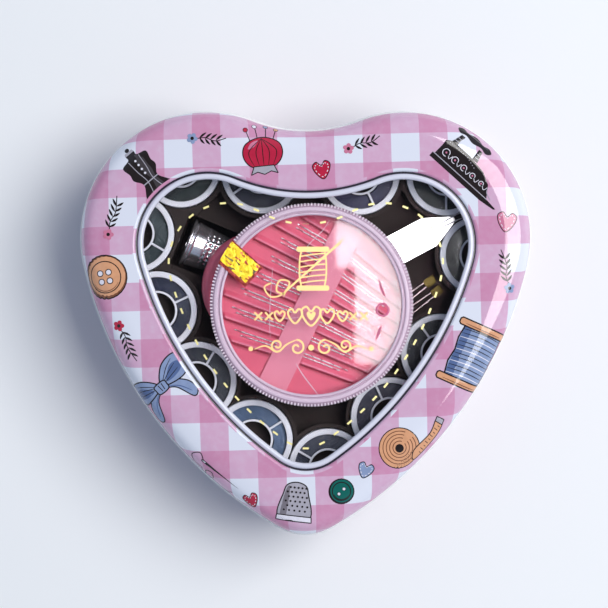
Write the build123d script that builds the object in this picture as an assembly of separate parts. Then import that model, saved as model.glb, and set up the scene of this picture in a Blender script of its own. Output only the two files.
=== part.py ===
from build123d import *
import math
import os
from collections import namedtuple

# Heart-shaped sewing tin with a windowed slip lid, a moulded tray, a ring of thread
# spools and the small tools that lie in the middle of the tray.
# Millimetres. +Z is up, the tin rests on Z = 0, the axis of the heart is the Y axis
# with the notch towards +Y, and the origin is the middle of the footprint.

# ---------------------------------------------------------------- the heart
TIN_WIDTH = 154.4          # across the lid bead
TIN_LENGTH = 145.2         # lobe tops to tip, over the lid bead
LOBE_R = 43.5              # lobes, at the lid bead
NOTCH_R = 48.5             # hollow between the lobes, at the lid bead
SIDE_R = 140.0             # long flanks, at the lid bead
TIP_R = 18.7               # point of the heart, at the lid bead
TIN_HEIGHT = 48.0          # table to lid panel

WINDOW_WIDTH = 113.9       # the same outline values for the groove round the window
WINDOW_LENGTH = 100.0
WINDOW_LOBE_R = 24.0
WINDOW_NOTCH_R = 64.2
WINDOW_SIDE_R = 122.0
WINDOW_TIP_R = 15.7
WINDOW_SHIFT = 0.7         # window middle above the tin middle

# ---------------------------------------------------------------- sheet metal
PLATE = 0.4                # tinplate with its lacquer and print
BEAD_D = 1.5               # rolled bead on the lid skirt
BEAD_TURN = 280            # degrees of roll in that bead
LID_DEPTH = 14.0           # panel to the foot of the bead
LID_PLAY = 0.35            # skirt to base wall
LID_REST_GAP = 0.15        # shoulder over the base curl
SHOULDER_R = 6.0           # tight part of the lid shoulder
SHOULDER_TURN = 75         # degrees turned by the tight part
CROWN_R = 22.0             # soft part that runs out into the flat panel
CURL_R = 0.5               # inside radius of the base wall's top curl
CURL_TURN = 250
SEAM_HEIGHT = 3.0          # folded seam round the foot
SEAM_FOLD_R = 0.5
SEAM_EASE = 0.15           # hooked wall end over the bottom of the fold
HOOK_R = 0.1               # inside radius of the hook at the foot of the wall
HOOK_RISE = 0.8
SEAM_WIDTH = 4 * PLATE + 2 * HOOK_R
COUNTERSINK = 2.0          # bottom panel above the table
PANEL_BEND_R = 0.4
PANEL_LEAD = 1.0           # turned strip that the flat bottom panel starts from
SIDE_SEAM_WIDTH = 6.0      # lap seam inside the wall, behind the notch
SIDE_SEAM_PROUD = 0.2

GROOVE_EDGE_R = 0.8        # panel edge rolling into the window groove
GROOVE_SLOPE = 55          # steepness of both groove flanks, degrees
GROOVE_FALL = 0.4          # straight flank on the panel side
GROOVE_R = 0.45            # bottom of the groove
HEM_RISE = 0.3             # straight flank on the hem side
HEM_R = 0.95               # rounded hem round the window
WINDOW_T = 0.3             # clear sheet
WINDOW_LAP = 3.0           # sheet glued behind the panel

# ---------------------------------------------------------------- spools and tray
SPOOL_D = 27.2
SPOOL_HEIGHT = 16.0
SPOOL_FLANGE_T = 0.9
SPOOL_RIM_WIDTH = 2.0      # thick edge ring of each flange
SPOOL_RIM_PROUD = 0.4
SPOOL_HUB_BORE_R = 6.2
SPOOL_HUB_WALL = 0.7
SPOOL_RIB_WIDTH = 0.5      # one moulded rib across each flange
# way each spool's rib points, from the one left of the notch round to the right
RIB_WAYS = (215, 100, -30, 25, 60, 32, 150, 115, 125, 20, -90, -65)
SPOOL_GAP = 0.45           # between neighbours on the tight side of the ring
SPOOL_EASY_GAP = 2.4       # between neighbours right of the notch
SPOOL_NOTCH_LEFT = 1.4     # added beside the notch, left and right
SPOOL_NOTCH_RIGHT = 4.7
WALK_STEP = 0.05           # how finely a spool's place along the outline is sought
THREAD_SHY = 1.3           # winding inside the spool's edge
PEG_PLAY = 0.4             # peg in the hub bore
PEG_SHY = 6.0              # peg top under the spool top
WELL_PLAY = 0.4            # spool in its well
SPOOL_REST_GAP = 0.2       # spool over the well floor
SPOOL_PROUD = 1.6          # spool top over the tray top

TRAY_T = 0.7
TRAY_PLAY = 0.3            # tray skirt to base wall
TRAY_LAND = 0.6            # flat strip between a well and the middle pocket
POCKET_REACH = 50.0        # middle pocket, measured from the compact's axis
SPOOL_WALL_EASE = 0.35     # least sheet left between a well and the tray skirt
# how much further in than that each spool sits: left chain from the notch, then right
LEFT_SLACK = (0.0, 0.8, 1.5, 2.3, 2.2, 2.8, 1.2, 0.8, 0.0)
RIGHT_SLACK = (1.2, 0.8, 0.0)

# ---------------------------------------------------------------- needle compact
COMPACT_X = 2.0            # a little right of the tin's middle
COMPACT_Y = 6.2
COMPACT_R = 34.3
COMPACT_HEIGHT = 8.5
COMPACT_HEADROOM = 1.4     # compact to window
COMPACT_OVER_SPOOLS = 2.5
COMPACT_WALL = 0.8
COMPACT_FLOOR = 1.0
COMPACT_POST_X = 12.0      # boss under the compact's free side, from its axis
COMPACT_POST_Y = -20.0
COMPACT_POST_R = 6.0
COVER_PLAY = 0.3           # cover over the base wall
COVER_LIFT = 1.4           # cover skirt above the foot of the base
COVER_TOP_T = 0.8
COVER_RIM_WIDTH = 4.0      # raised grip band
COVER_RIM_PROUD = 0.4
OUTLET_R = 1.7             # hole that lets one needle out
OUTLET_RING = 0.7
OUTLET_REACH = 24.0
OUTLET_ANGLE = -4
BASE_WALL_H = 4.2
CARD_T = 1.2
CARD_PLAY = 0.4
PLEAT_RISE = 0.5
PLEAT_WIDTH = 1.3
PLEAT_COUNT = 8            # on each side
PLEAT_REACH = 30.5         # outer ends, from the middle of the compact
NEEDLE_PITCH = 1.2         # between the two needles that share a pocket
NEEDLE_STAGGER = 1.2       # the second one ends this much nearer to the middle
LEFT_REACH = (28.0, 25.0, 21.5, 22.5, 24.5, 27.0, 27.5)    # outer ends, pocket by pocket
RIGHT_REACH = (27.0, 26.0, 24.0, 22.0, 22.5, 24.0, 25.5)
NEEDLE_MEET = 1.6          # inner ends, from the middle line under the strip
NEEDLE_R = 0.25
NEEDLE_POINT = 4.0
NEEDLE_TIP_R = 0.04
NEEDLE_EYE = 1.8
NEEDLE_EYE_WIDTH = 0.2
BANK_FROM = 24.0           # first and last pleat along the middle line
BANK_TO = -20.0
LEFT_FAN = (149, 163)      # way the first and last pleat of each bank points out
RIGHT_FAN = (-40, -20)
BAND_WIDTH = 10.0          # strip over the needle ends
BAND_LENGTH = 61.0
BAND_T = 0.3
BAND_ANGLE = 64
SEAL_WIDTH = 9.0           # foil seal, folded over the grip band
SEAL_REACH = 13.0          # how far it runs in from the edge
SEAL_PAST = 3.0            # and past it, before it is folded down
SEAL_ASKEW = -12           # it was stuck on a little askew
SEAL_DROP = 4.0
SEAL_T = 0.12
SEAL_ANGLE = 150

# ---------------------------------------------------------------- tape measure
TAPE_X = 60.4 - TIN_WIDTH / 2           # from the left flank of the tin
TAPE_Y = 12.3
TAPE_R = 18.9
TAPE_HEIGHT = 12.0
TAPE_WALL = 1.2
TAPE_EDGE_R = 2.6
TAPE_EDGE_CLEAR = 0.65     # least case left outside the room, at the rounded edges
TAPE_POST_R = 2.0
TAPE_POST_PLAY = 0.05      # drum bore on the post, a running fit
TAPE_HUB_R = 5.5
TAPE_ROLL_R = 14.0
TAPE_DRUM_PLAY = 0.5       # drum to either case half
RIBBON_MARGIN = 0.4        # drum cheek above and below the ribbon
TAPE_BUTTON_R = 5.0
TAPE_BUTTON_PLAY = 0.25
TAPE_BUTTON_SINK = 0.3     # button face under the case top
TAPE_BUTTON_TRAVEL = 1.0
TAPE_BUTTON_FLANGE = 1.0   # edge that keeps the button in the case
TAPE_BUTTON_SEAT = 0.1     # flange under the case top
TAPE_CUP_WALL = 0.6        # drum wall round the spring
TAPE_MOUTH_ANGLE = -70
TAPE_MOUTH = 1.8           # slot height across the ribbon's thickness
TAPE_TAB_OUT = 3.0
TAPE_TAB_T = 1.0
TAPE_TAB_PLAY = 0.3        # tab to the case
SPRING_T = 0.3
SPRING_TURNS = 3
SPRING_PITCH = 0.8
SPRING_START = 0.9         # first turn, out from the post

# ---------------------------------------------------------------- thimble
THIMBLE_X = 35.4 - TIN_WIDTH / 2        # middle of the rim, lying on its side
THIMBLE_Y = TIN_LENGTH / 2 - 44.1
THIMBLE_ANGLE = -22                     # way the closed end points
THIMBLE_RIM_R = 8.7
THIMBLE_CROWN_R = 6.6
THIMBLE_LENGTH = 18.5
THIMBLE_BEND_R = 3.0                    # side into the closed end
THIMBLE_WALL = 0.6
THIMBLE_ROLL_R = 0.5
THIMBLE_UNDER_TAPE = 1.6                # crown under the tape case
THIMBLE_PLAY = 0.6                      # in its pocket

# ---------------------------------------------------------------- threader and pins
PLATE_X = TIN_WIDTH / 2 - 26.2          # tip of the threader's grip
PLATE_Y = TIN_LENGTH / 2 - 36.8
THREADER_ANGLE = 28
THREADER_LENGTH = 34.0
THREADER_WIDTH = 10.6
THREADER_TIP = 1.6
THREADER_TAPER = 10.0
THREADER_T = 0.5
THREADER_TILT = 5.5                     # grip end up
THREADER_GAP = 0.15
THREADER_CORNER = 2.5
THREADER_BORDER = 2.0                   # flat edge round the raised middle
THREADER_EMBOSS = 0.3
THREADER_POST_R = 3.0
THREADER_POST_INSET = 4.0               # boss in from the grip's end
CRIMP_LENGTH = 1.6
CRIMP_WIDTH = 2.6
WIRE_D = 0.4
WIRE_START = 7.0                        # crimp back from the tip
WIRE_LENGTH = 26.0
WIRE_SPREAD = 2.4
WIRE_OVER_SPOOL = 0.5
WIRE_FOOT = 0.6                         # each arm from the middle line, at the crimp
WIRE_WAIST = 0.9                        # and where it has come down to its level
WIRE_WIDEST = 0.6                       # share of the length where the arms are widest
WIRE_BEND_R = 1.5

PIN_X = TIN_WIDTH / 2 - 35.8            # first safety pin, where the wires leave the head
PIN_Y = 13.1
PIN_ANGLE = 216
PIN_LENGTH = 27.0
PIN_WIRE_D = 0.8
PIN_SPREAD = 2.9
PIN_FOOT = 0.8                          # each wire from the middle line, at the head
PIN_OPEN = 13.5                         # from the head to where the wires run parallel
PIN_COIL_R = 1.16                       # bend round the coil end
PIN_HEAD_LENGTH = 4.0
PIN_HEAD_WIDTH = 3.0
PIN_HEAD_T = 1.5
PIN_HEAD_CORNER = 0.75
PIN_STEP = 4.2                          # second pin beside the first
PIN_COUNT = 2

# ---------------------------------------------------------------- levels
WINDOW_DIP = ((GROOVE_EDGE_R - PLATE) * (1 - math.cos(math.radians(GROOVE_SLOPE)))
              + GROOVE_FALL * math.sin(math.radians(GROOVE_SLOPE))
              + (GROOVE_R + PLATE) * (1 - math.cos(math.radians(GROOVE_SLOPE))))
WINDOW_TOP = TIN_HEIGHT - PLATE - WINDOW_DIP
FLOOR_TOP = COUNTERSINK + PLATE
COMPACT_FOOT = WINDOW_TOP - WINDOW_T - COMPACT_HEADROOM - COMPACT_HEIGHT
SPOOL_TOP = COMPACT_FOOT - COMPACT_OVER_SPOOLS
SPOOL_FOOT = SPOOL_TOP - SPOOL_HEIGHT
WELL_FLOOR = SPOOL_FOOT - SPOOL_REST_GAP
TRAY_TOP = SPOOL_TOP - SPOOL_PROUD
POCKET_FLOOR = COMPACT_FOOT - TAPE_HEIGHT

# offsets of each skin from the bead line, outwards positive
SKIRT_IN = -BEAD_D
SKIRT_OUT = SKIRT_IN + PLATE
WALL_OUT = SKIRT_IN - LID_PLAY
WALL_IN = WALL_OUT - PLATE
TRAY_OUT = WALL_IN - TRAY_PLAY
WELL_R = SPOOL_D / 2 + WELL_PLAY

Arc = namedtuple("Arc", "x y r start end side")   # side -1 marks the hollow notch


# ---------------------------------------------------------------- outline tools
def heart(width, length, lobe_r, notch_r, side_r, tip_r, shift=0.0):
    """The six tangent arcs of a heart, anticlockwise from the middle of the notch."""
    lobe = Vector(width / 2 - lobe_r, length / 2 - lobe_r)
    tip = Vector(0, tip_r - length / 2)
    notch_y = lobe.Y + math.sqrt((notch_r + lobe_r) ** 2 - lobe.X ** 2)
    span = (tip - lobe).length
    along = (tip - lobe) / span
    reach = ((side_r - lobe_r) ** 2 - (side_r - tip_r) ** 2 + span ** 2) / (2 * span)
    across = math.sqrt((side_r - lobe_r) ** 2 - reach ** 2)
    flank = lobe + along * reach + Vector(along.Y, -along.X) * across
    into_notch = math.degrees(math.atan2(notch_y - lobe.Y, -lobe.X))
    into_side = math.degrees(math.atan2(lobe.Y - flank.Y, lobe.X - flank.X))
    into_tip = math.degrees(math.atan2(tip.Y - flank.Y, tip.X - flank.X))
    return [
        Arc(-lobe.X, lobe.Y + shift, lobe_r, 180 - into_notch, 180 - into_side, 1),
        Arc(-flank.X, flank.Y + shift, side_r, 180 - into_side, 180 - into_tip, 1),
        Arc(0, tip.Y + shift, tip_r, -180 - into_tip, into_tip, 1),
        Arc(flank.X, flank.Y + shift, side_r, into_tip, into_side, 1),
        Arc(lobe.X, lobe.Y + shift, lobe_r, into_side, into_notch, 1),
        Arc(0, notch_y + shift, notch_r, into_notch - 180, -into_notch, -1),
    ]


def polar(x, y, r, degrees):
    return Vector(x + r * math.cos(math.radians(degrees)),
                  y + r * math.sin(math.radians(degrees)))


def outline(arcs, grow):
    """Flat face of a heart, `grow` outside its line."""
    edges = []
    for a in arcs:
        r = a.r + a.side * grow
        ends = [polar(a.x, a.y, r, t) for t in (a.start, (a.start + a.end) / 2, a.end)]
        edges.append(Edge.make_three_point_arc(*ends))
    return Face(Wire(edges))


def slab(face, low, high):
    return extrude(Pos(0, 0, low) * face, high - low, dir=(0, 0, 1))


def strip(start, heading, moves, gauge=PLATE):
    """Closed loop of bent sheet: a path of ("line", length) and ("arc", radius, turn),
    left turns positive, with the sheet's thickness on the right of the path."""
    x, z = start
    angle = math.radians(heading)
    near, far = [], []
    for kind, size, *turn in moves:
        right = (math.sin(angle), -math.cos(angle))
        if kind == "line":
            stops = [(x, z), (x + size * math.cos(angle), z + size * math.sin(angle))]
            near.append(stops)
            far.append([(p + gauge * right[0], q + gauge * right[1]) for p, q in stops])
        else:
            way = math.copysign(1, turn[0])
            cx, cz = x - way * size * right[0], z - way * size * right[1]
            scale = (size + way * gauge) / size
            spins = [math.radians(turn[0]) * share for share in (0, 0.5, 1)]
            stops = [(cx + (x - cx) * math.cos(s) - (z - cz) * math.sin(s),
                      cz + (x - cx) * math.sin(s) + (z - cz) * math.cos(s)) for s in spins]
            near.append(stops)
            far.append([(cx + (p - cx) * scale, cz + (q - cz) * scale) for p, q in stops])
            angle += math.radians(turn[0])
        x, z = stops[-1]
    back = [stops[::-1] for stops in far[::-1]]
    return near + [[near[-1][-1], back[0][0]]] + back + [[back[-1][-1], near[0][0]]]


def section(loop, place):
    """Face of a loop from strip(), each (u, z) put in space by `place`."""
    edges = []
    for stops in loop:
        spots = [place(*p) for p in stops]
        join = Edge.make_line if len(spots) == 2 else Edge.make_three_point_arc
        edges.append(join(*spots))
    return Face(Wire(edges))


def round_heart(arcs, loop):
    """A section carried round a heart: one turned piece for each arc, joined."""
    pieces = []
    for a in arcs:
        first = min(a.start, a.end)

        def place(u, z, a=a, first=first):
            spot = polar(a.x, a.y, a.r + a.side * u, first)
            return Vector(spot.X, spot.Y, z)

        turned = revolve(section(loop, place), Axis((a.x, a.y, 0), (0, 0, 1)),
                         abs(a.end - a.start))
        pieces.append(turned)
    return pieces[0].fuse(*pieces[1:])


def turned(loop, x=0.0, y=0.0):
    """A section turned right round an upright axis."""
    face = section(loop, lambda u, z: Vector(u, 0, z))
    return Pos(x, y, 0) * revolve(face, Axis.Z, 360)


def ring(x, y, outer, inner, low, high):
    body = Pos(x, y, (low + high) / 2) * Cylinder(outer, high - low)
    return body - Pos(x, y, (low + high) / 2) * Cylinder(inner, high - low)


def disc(x, y, r, low, high):
    return Pos(x, y, (low + high) / 2) * Cylinder(r, high - low)


def bar(x, y, degrees, length, width, low, high):
    return Pos(x, y, (low + high) / 2) * Rot(0, 0, degrees) * Box(length, width, high - low)


def save(shape, name):
    export_step(shape, f"parts/{name}.step")


BEAD_LINE = heart(TIN_WIDTH, TIN_LENGTH, LOBE_R, NOTCH_R, SIDE_R, TIP_R)
WINDOW_LINE = heart(WINDOW_WIDTH, WINDOW_LENGTH, WINDOW_LOBE_R, WINDOW_NOTCH_R,
                    WINDOW_SIDE_R, WINDOW_TIP_R, WINDOW_SHIFT)


# ---------------------------------------------------------------- the tin
def shoulder_foot():
    """Height where the lid skirt ends and the shoulder begins."""
    tight, soft = math.radians(SHOULDER_TURN), math.radians(90 - SHOULDER_TURN)
    return TIN_HEIGHT - SHOULDER_R * math.sin(tight) - CROWN_R * (1 - math.cos(soft))


def shoulder_width():
    tight, soft = math.radians(SHOULDER_TURN), math.radians(90 - SHOULDER_TURN)
    return SHOULDER_R * (1 - math.cos(tight)) + CROWN_R * math.sin(soft)


def curl_centre():
    """The base curl rises until it all but meets the inside of the lid shoulder."""
    sideways = (SKIRT_OUT - SHOULDER_R) - (WALL_IN - CURL_R)
    reach = SHOULDER_R - PLATE - (CURL_R + PLATE) - LID_REST_GAP
    return shoulder_foot() + math.sqrt(reach ** 2 - sideways ** 2)


def base_wall():
    foot = 2 * PLATE + SEAM_EASE + HOOK_R
    loop = strip((WALL_IN - 2 * HOOK_R, foot + HOOK_RISE), -90,
                 [("line", HOOK_RISE), ("arc", HOOK_R, 180), ("line", curl_centre() - foot),
                  ("arc", CURL_R, CURL_TURN)])
    wall = round_heart(BEAD_LINE, loop)
    notch = BEAD_LINE[-1]
    half = math.degrees(SIDE_SEAM_WIDTH / 2 / notch.r)
    lap_in = notch.r - WALL_IN + SIDE_SEAM_PROUD
    lap = [polar(notch.x, notch.y, r, t)
           for r, t in ((notch.r - WALL_IN, -90 - half), (notch.r - WALL_IN, -90),
                        (notch.r - WALL_IN, -90 + half), (lap_in, -90 + half),
                        (lap_in, -90), (lap_in, -90 - half))]
    face = Face(Wire([Edge.make_three_point_arc(*lap[:3]), Edge.make_line(lap[2], lap[3]),
                      Edge.make_three_point_arc(*lap[3:]), Edge.make_line(lap[5], lap[0])]))
    return wall + slab(face, FLOOR_TOP, curl_centre() - CURL_R - PLATE)


def base_bottom():
    fold_out = WALL_OUT + PLATE
    flat = SEAM_WIDTH - 2 * SEAM_FOLD_R
    loop = strip((fold_out, SEAM_HEIGHT), -90,
                 [("line", SEAM_HEIGHT - SEAM_FOLD_R), ("arc", SEAM_FOLD_R, -90),
                  ("line", flat), ("arc", SEAM_FOLD_R, -90),
                  ("line", COUNTERSINK - SEAM_FOLD_R - PANEL_BEND_R),
                  ("arc", PANEL_BEND_R, 90), ("line", PANEL_LEAD)])
    rim = round_heart(BEAD_LINE, loop)
    panel = outline(BEAD_LINE, fold_out - SEAM_WIDTH - PANEL_BEND_R - PANEL_LEAD)
    return rim + slab(panel, COUNTERSINK, FLOOR_TOP)


def hem_start():
    """Offset from the groove line where the panel begins to fall."""
    slope = math.radians(GROOVE_SLOPE)
    return (GROOVE_EDGE_R + GROOVE_R) * math.sin(slope) + GROOVE_FALL * math.cos(slope)


def lid_shell():
    bead_r = BEAD_D / 2
    bead_z = TIN_HEIGHT - LID_DEPTH + bead_r
    first = math.radians(180 + BEAD_TURN)
    start = (SKIRT_IN + bead_r + bead_r * math.cos(first), bead_z + bead_r * math.sin(first))
    skirt = strip(start, 90 + BEAD_TURN,
                  [("arc", bead_r, -BEAD_TURN), ("line", shoulder_foot() - bead_z),
                   ("arc", SHOULDER_R - PLATE, SHOULDER_TURN),
                   ("arc", CROWN_R - PLATE, 90 - SHOULDER_TURN)])
    hem = strip((hem_start(), TIN_HEIGHT - PLATE), 180,
                [("arc", GROOVE_EDGE_R - PLATE, GROOVE_SLOPE), ("line", GROOVE_FALL),
                 ("arc", GROOVE_R + PLATE, -2 * GROOVE_SLOPE), ("line", HEM_RISE),
                 ("arc", HEM_R - PLATE, GROOVE_SLOPE + 90), ("line", hem_tail())])
    panel = outline(BEAD_LINE, SKIRT_OUT - shoulder_width()) - outline(WINDOW_LINE, hem_start())
    flat = slab(panel, TIN_HEIGHT - PLATE, TIN_HEIGHT)
    return round_heart(BEAD_LINE, skirt) + flat + round_heart(WINDOW_LINE, hem)


def hem_tail():
    """Straight end of the hem, down to the window sheet."""
    slope = math.radians(GROOVE_SLOPE)
    rise = ((GROOVE_R + PLATE) + (HEM_R - PLATE)) * (1 - math.cos(slope))
    return rise + HEM_RISE * math.sin(slope) - (HEM_R - PLATE)


def lid_window():
    return slab(outline(WINDOW_LINE, WINDOW_LAP), WINDOW_TOP - WINDOW_T, WINDOW_TOP)


# ---------------------------------------------------------------- where the spools stand
def along(s):
    """Point on the bead line `s` mm anticlockwise from the notch, and its outward normal."""
    notch = BEAD_LINE[-1]
    middle = (notch.start + notch.end) / 2
    path = [notch._replace(start=middle)] + BEAD_LINE[:-1] + [notch._replace(end=middle)]
    sizes = [math.radians(abs(a.end - a.start)) * a.r for a in path]
    s %= sum(sizes)
    for a, size in zip(path, sizes):
        if s <= size:
            t = a.start + (a.end - a.start) * s / size
            return polar(a.x, a.y, a.r, t), polar(0, 0, a.side, t)
        s -= size
    raise ValueError("station beyond the outline")


def spool_spot(s, slack):
    spot, outward = along(s)
    return spot + outward * (TRAY_OUT - SPOOL_WALL_EASE - WELL_R - slack)


def march(s, way, slack, enough):
    """Walk the outline from `s` until `enough(spot)` holds."""
    while not enough(spool_spot(s, slack)):
        s += way * WALK_STEP
    return s


def spool_spots():
    """A tight chain round the left, the tip and up the right; an easy one from the notch."""
    tight, easy = SPOOL_D + SPOOL_GAP, SPOOL_D + SPOOL_EASY_GAP
    right = []
    s = 0.0
    for slack in RIGHT_SLACK:
        last = right[-1] if right else None
        s = march(s, -1, slack,
                  lambda p, q=last: (p - q).length >= easy if q
                  else p.X >= tight / 2 + SPOOL_NOTCH_RIGHT)
        right.append(spool_spot(s, slack))
    left = []
    s = 0.0
    while True:
        slack = LEFT_SLACK[len(left) % len(LEFT_SLACK)]
        last = left[-1] if left else None
        s = march(s, 1, slack,
                  lambda p, q=last: (p - q).length >= tight if q
                  else -p.X >= tight / 2 + SPOOL_NOTCH_LEFT)
        spot = spool_spot(s, slack)
        if (spot - right[-1]).length < tight:
            return left + right[::-1]
        left.append(spot)


SPOOLS = spool_spots()


# ---------------------------------------------------------------- tray
def thimble_tilt():
    return math.degrees(math.atan((THIMBLE_RIM_R - THIMBLE_CROWN_R) / THIMBLE_LENGTH))


def thimble_floor():
    """Floor of the thimble's pocket: the crown passes just under the tape case."""
    tilt = math.radians(thimble_tilt())
    crown_top = 2 * THIMBLE_CROWN_R * math.cos(tilt)
    return POCKET_FLOOR - THIMBLE_UNDER_TAPE - crown_top


def pocket(grow):
    """Middle pocket of the tray, `grow` larger all round."""
    face = Pos(COMPACT_X, COMPACT_Y) * Circle(POCKET_REACH + grow)
    keep = WELL_R + TRAY_T + TRAY_LAND
    face &= outline(BEAD_LINE, TRAY_OUT - keep + grow)
    for spot in SPOOLS:
        face -= Pos(spot.X, spot.Y) * Circle(keep - grow)
    return face


def thimble_pocket(grow):
    lean = THIMBLE_RIM_R * math.sin(math.radians(thimble_tilt()))
    length = THIMBLE_LENGTH + lean + 2 * (THIMBLE_PLAY + grow)
    width = 2 * (THIMBLE_RIM_R + THIMBLE_PLAY + grow)
    middle = polar(THIMBLE_X, THIMBLE_Y, (THIMBLE_LENGTH - lean) / 2, THIMBLE_ANGLE)
    return Pos(middle.X, middle.Y) * Rot(0, 0, THIMBLE_ANGLE) * Rectangle(length, width)


def compact_post():
    """Boss that carries the compact's free side: middle, radius and top."""
    return COMPACT_X + COMPACT_POST_X, COMPACT_Y + COMPACT_POST_Y, COMPACT_POST_R, COMPACT_FOOT


def threader_end():
    """Middle of the threader's grip end, under face."""
    tilt = math.radians(THREADER_TILT)
    flat = THREADER_LENGTH * math.cos(tilt)
    spot = polar(PLATE_X, PLATE_Y, -flat, THREADER_ANGLE)
    return spot, TRAY_TOP + THREADER_GAP + THREADER_LENGTH * math.sin(tilt)


def threader_post():
    """Boss under the threader's grip, a little in from its end."""
    tilt = math.radians(THREADER_TILT)
    spot, height = threader_end()
    under = spot + polar(0, 0, THREADER_POST_INSET, THREADER_ANGLE)
    top = height - (THREADER_POST_INSET + THREADER_POST_R) * math.tan(tilt) - THREADER_GAP
    return under.X, under.Y, THREADER_POST_R, top


def tray():
    block = slab(outline(BEAD_LINE, TRAY_OUT), FLOOR_TOP, TRAY_TOP)
    hollow = slab(outline(BEAD_LINE, TRAY_OUT - TRAY_T), FLOOR_TOP, TRAY_TOP - TRAY_T)
    deep = thimble_floor()
    block -= slab(pocket(0), POCKET_FLOOR, TRAY_TOP)
    hollow -= slab(pocket(TRAY_T), POCKET_FLOOR - TRAY_T, TRAY_TOP)
    block -= slab(thimble_pocket(0), deep, TRAY_TOP)
    hollow -= slab(thimble_pocket(TRAY_T), deep - TRAY_T, TRAY_TOP)
    for spot in SPOOLS:
        block -= disc(spot.X, spot.Y, WELL_R, WELL_FLOOR, TRAY_TOP)
        hollow -= disc(spot.X, spot.Y, WELL_R + TRAY_T, WELL_FLOOR - TRAY_T, TRAY_TOP)
    peg_r, peg_top = SPOOL_HUB_BORE_R - PEG_PLAY, SPOOL_TOP - PEG_SHY
    bosses = [(spot.X, spot.Y, peg_r, peg_top) for spot in SPOOLS]
    for x, y, r, top in bosses + [compact_post(), threader_post()]:
        block += disc(x, y, r, FLOOR_TOP, top)
        hollow += disc(x, y, r - TRAY_T, FLOOR_TOP, top - TRAY_T)
    return block - hollow


# ---------------------------------------------------------------- spools
def spool(x, y, turn):
    r, hub = SPOOL_D / 2, SPOOL_HUB_BORE_R + SPOOL_HUB_WALL
    body = disc(x, y, hub, SPOOL_FOOT, SPOOL_TOP)
    levels = ((SPOOL_FOOT, SPOOL_FOOT + SPOOL_RIM_PROUD, 1),
              (SPOOL_TOP, SPOOL_TOP - SPOOL_RIM_PROUD, -1))
    for face, web, way in levels:
        back = web + way * SPOOL_FLANGE_T
        body += disc(x, y, r, min(web, back), max(web, back))
        body += ring(x, y, r, r - SPOOL_RIM_WIDTH, min(face, back), max(face, back))
        middle = polar(x, y, (r + hub) / 2, turn)
        body += bar(middle.X, middle.Y, turn, r - hub - SPOOL_HUB_WALL, SPOOL_RIB_WIDTH,
                    min(face, back), max(face, back))
    return body - disc(x, y, SPOOL_HUB_BORE_R, SPOOL_FOOT, SPOOL_TOP)


def thread(x, y):
    inset = SPOOL_RIM_PROUD + SPOOL_FLANGE_T
    return ring(x, y, SPOOL_D / 2 - THREAD_SHY, SPOOL_HUB_BORE_R + SPOOL_HUB_WALL,
                SPOOL_FOOT + inset, SPOOL_TOP - inset)


# ---------------------------------------------------------------- needle compact
CARD_TOP = COMPACT_FOOT + COMPACT_FLOOR + CARD_T
NEEDLE_LEVEL = CARD_TOP + NEEDLE_R
BASE_R = COMPACT_R - COMPACT_WALL - COVER_PLAY
COVER_TOP = COMPACT_FOOT + COMPACT_HEIGHT


def compact_base():
    dish = disc(COMPACT_X, COMPACT_Y, BASE_R, COMPACT_FOOT, COMPACT_FOOT + BASE_WALL_H)
    inside = BASE_R - COMPACT_WALL
    return dish - disc(COMPACT_X, COMPACT_Y, inside, COMPACT_FOOT + COMPACT_FLOOR,
                       COMPACT_FOOT + BASE_WALL_H)


def compact_cover():
    low, web = COMPACT_FOOT + COVER_LIFT, COVER_TOP - COVER_RIM_PROUD
    under = web - COVER_TOP_T
    cover = disc(COMPACT_X, COMPACT_Y, COMPACT_R, low, COVER_TOP)
    cover -= disc(COMPACT_X, COMPACT_Y, COMPACT_R - COMPACT_WALL, low, under)
    cover -= disc(COMPACT_X, COMPACT_Y, COMPACT_R - COVER_RIM_WIDTH, web, COVER_TOP)
    spot = polar(COMPACT_X, COMPACT_Y, OUTLET_REACH, OUTLET_ANGLE)
    cover += disc(spot.X, spot.Y, OUTLET_R + OUTLET_RING, web, COVER_TOP)
    return cover - disc(spot.X, spot.Y, OUTLET_R, under, COVER_TOP)


def bank_row(fan, share):
    """Where a row of a bank starts on the middle line, and the way it points out."""
    start = polar(0, 0, BANK_FROM + (BANK_TO - BANK_FROM) * share, BAND_ANGLE)
    return start, fan[0] + (fan[1] - fan[0]) * share


def reach_out(start, angle, limit):
    """How far a line from `start` runs before it leaves a circle of radius `limit`."""
    way = polar(0, 0, 1, angle)
    beside = start.X * way.X + start.Y * way.Y
    return math.sqrt(beside ** 2 + limit ** 2 - start.X ** 2 - start.Y ** 2) - beside


def needle(length):
    """Lies along X, point at the origin, eye outwards."""
    shaft = length - NEEDLE_POINT
    body = Pos(NEEDLE_POINT + shaft / 2, 0, 0) * Rot(0, 90, 0) * Cylinder(NEEDLE_R, shaft)
    body += Pos(NEEDLE_POINT / 2, 0, 0) * Rot(0, -90, 0) * Cone(NEEDLE_R, NEEDLE_TIP_R,
                                                               NEEDLE_POINT)
    return body - Pos(length - NEEDLE_EYE, 0, 0) * Box(NEEDLE_EYE, NEEDLE_EYE_WIDTH,
                                                      2 * NEEDLE_R)


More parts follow.
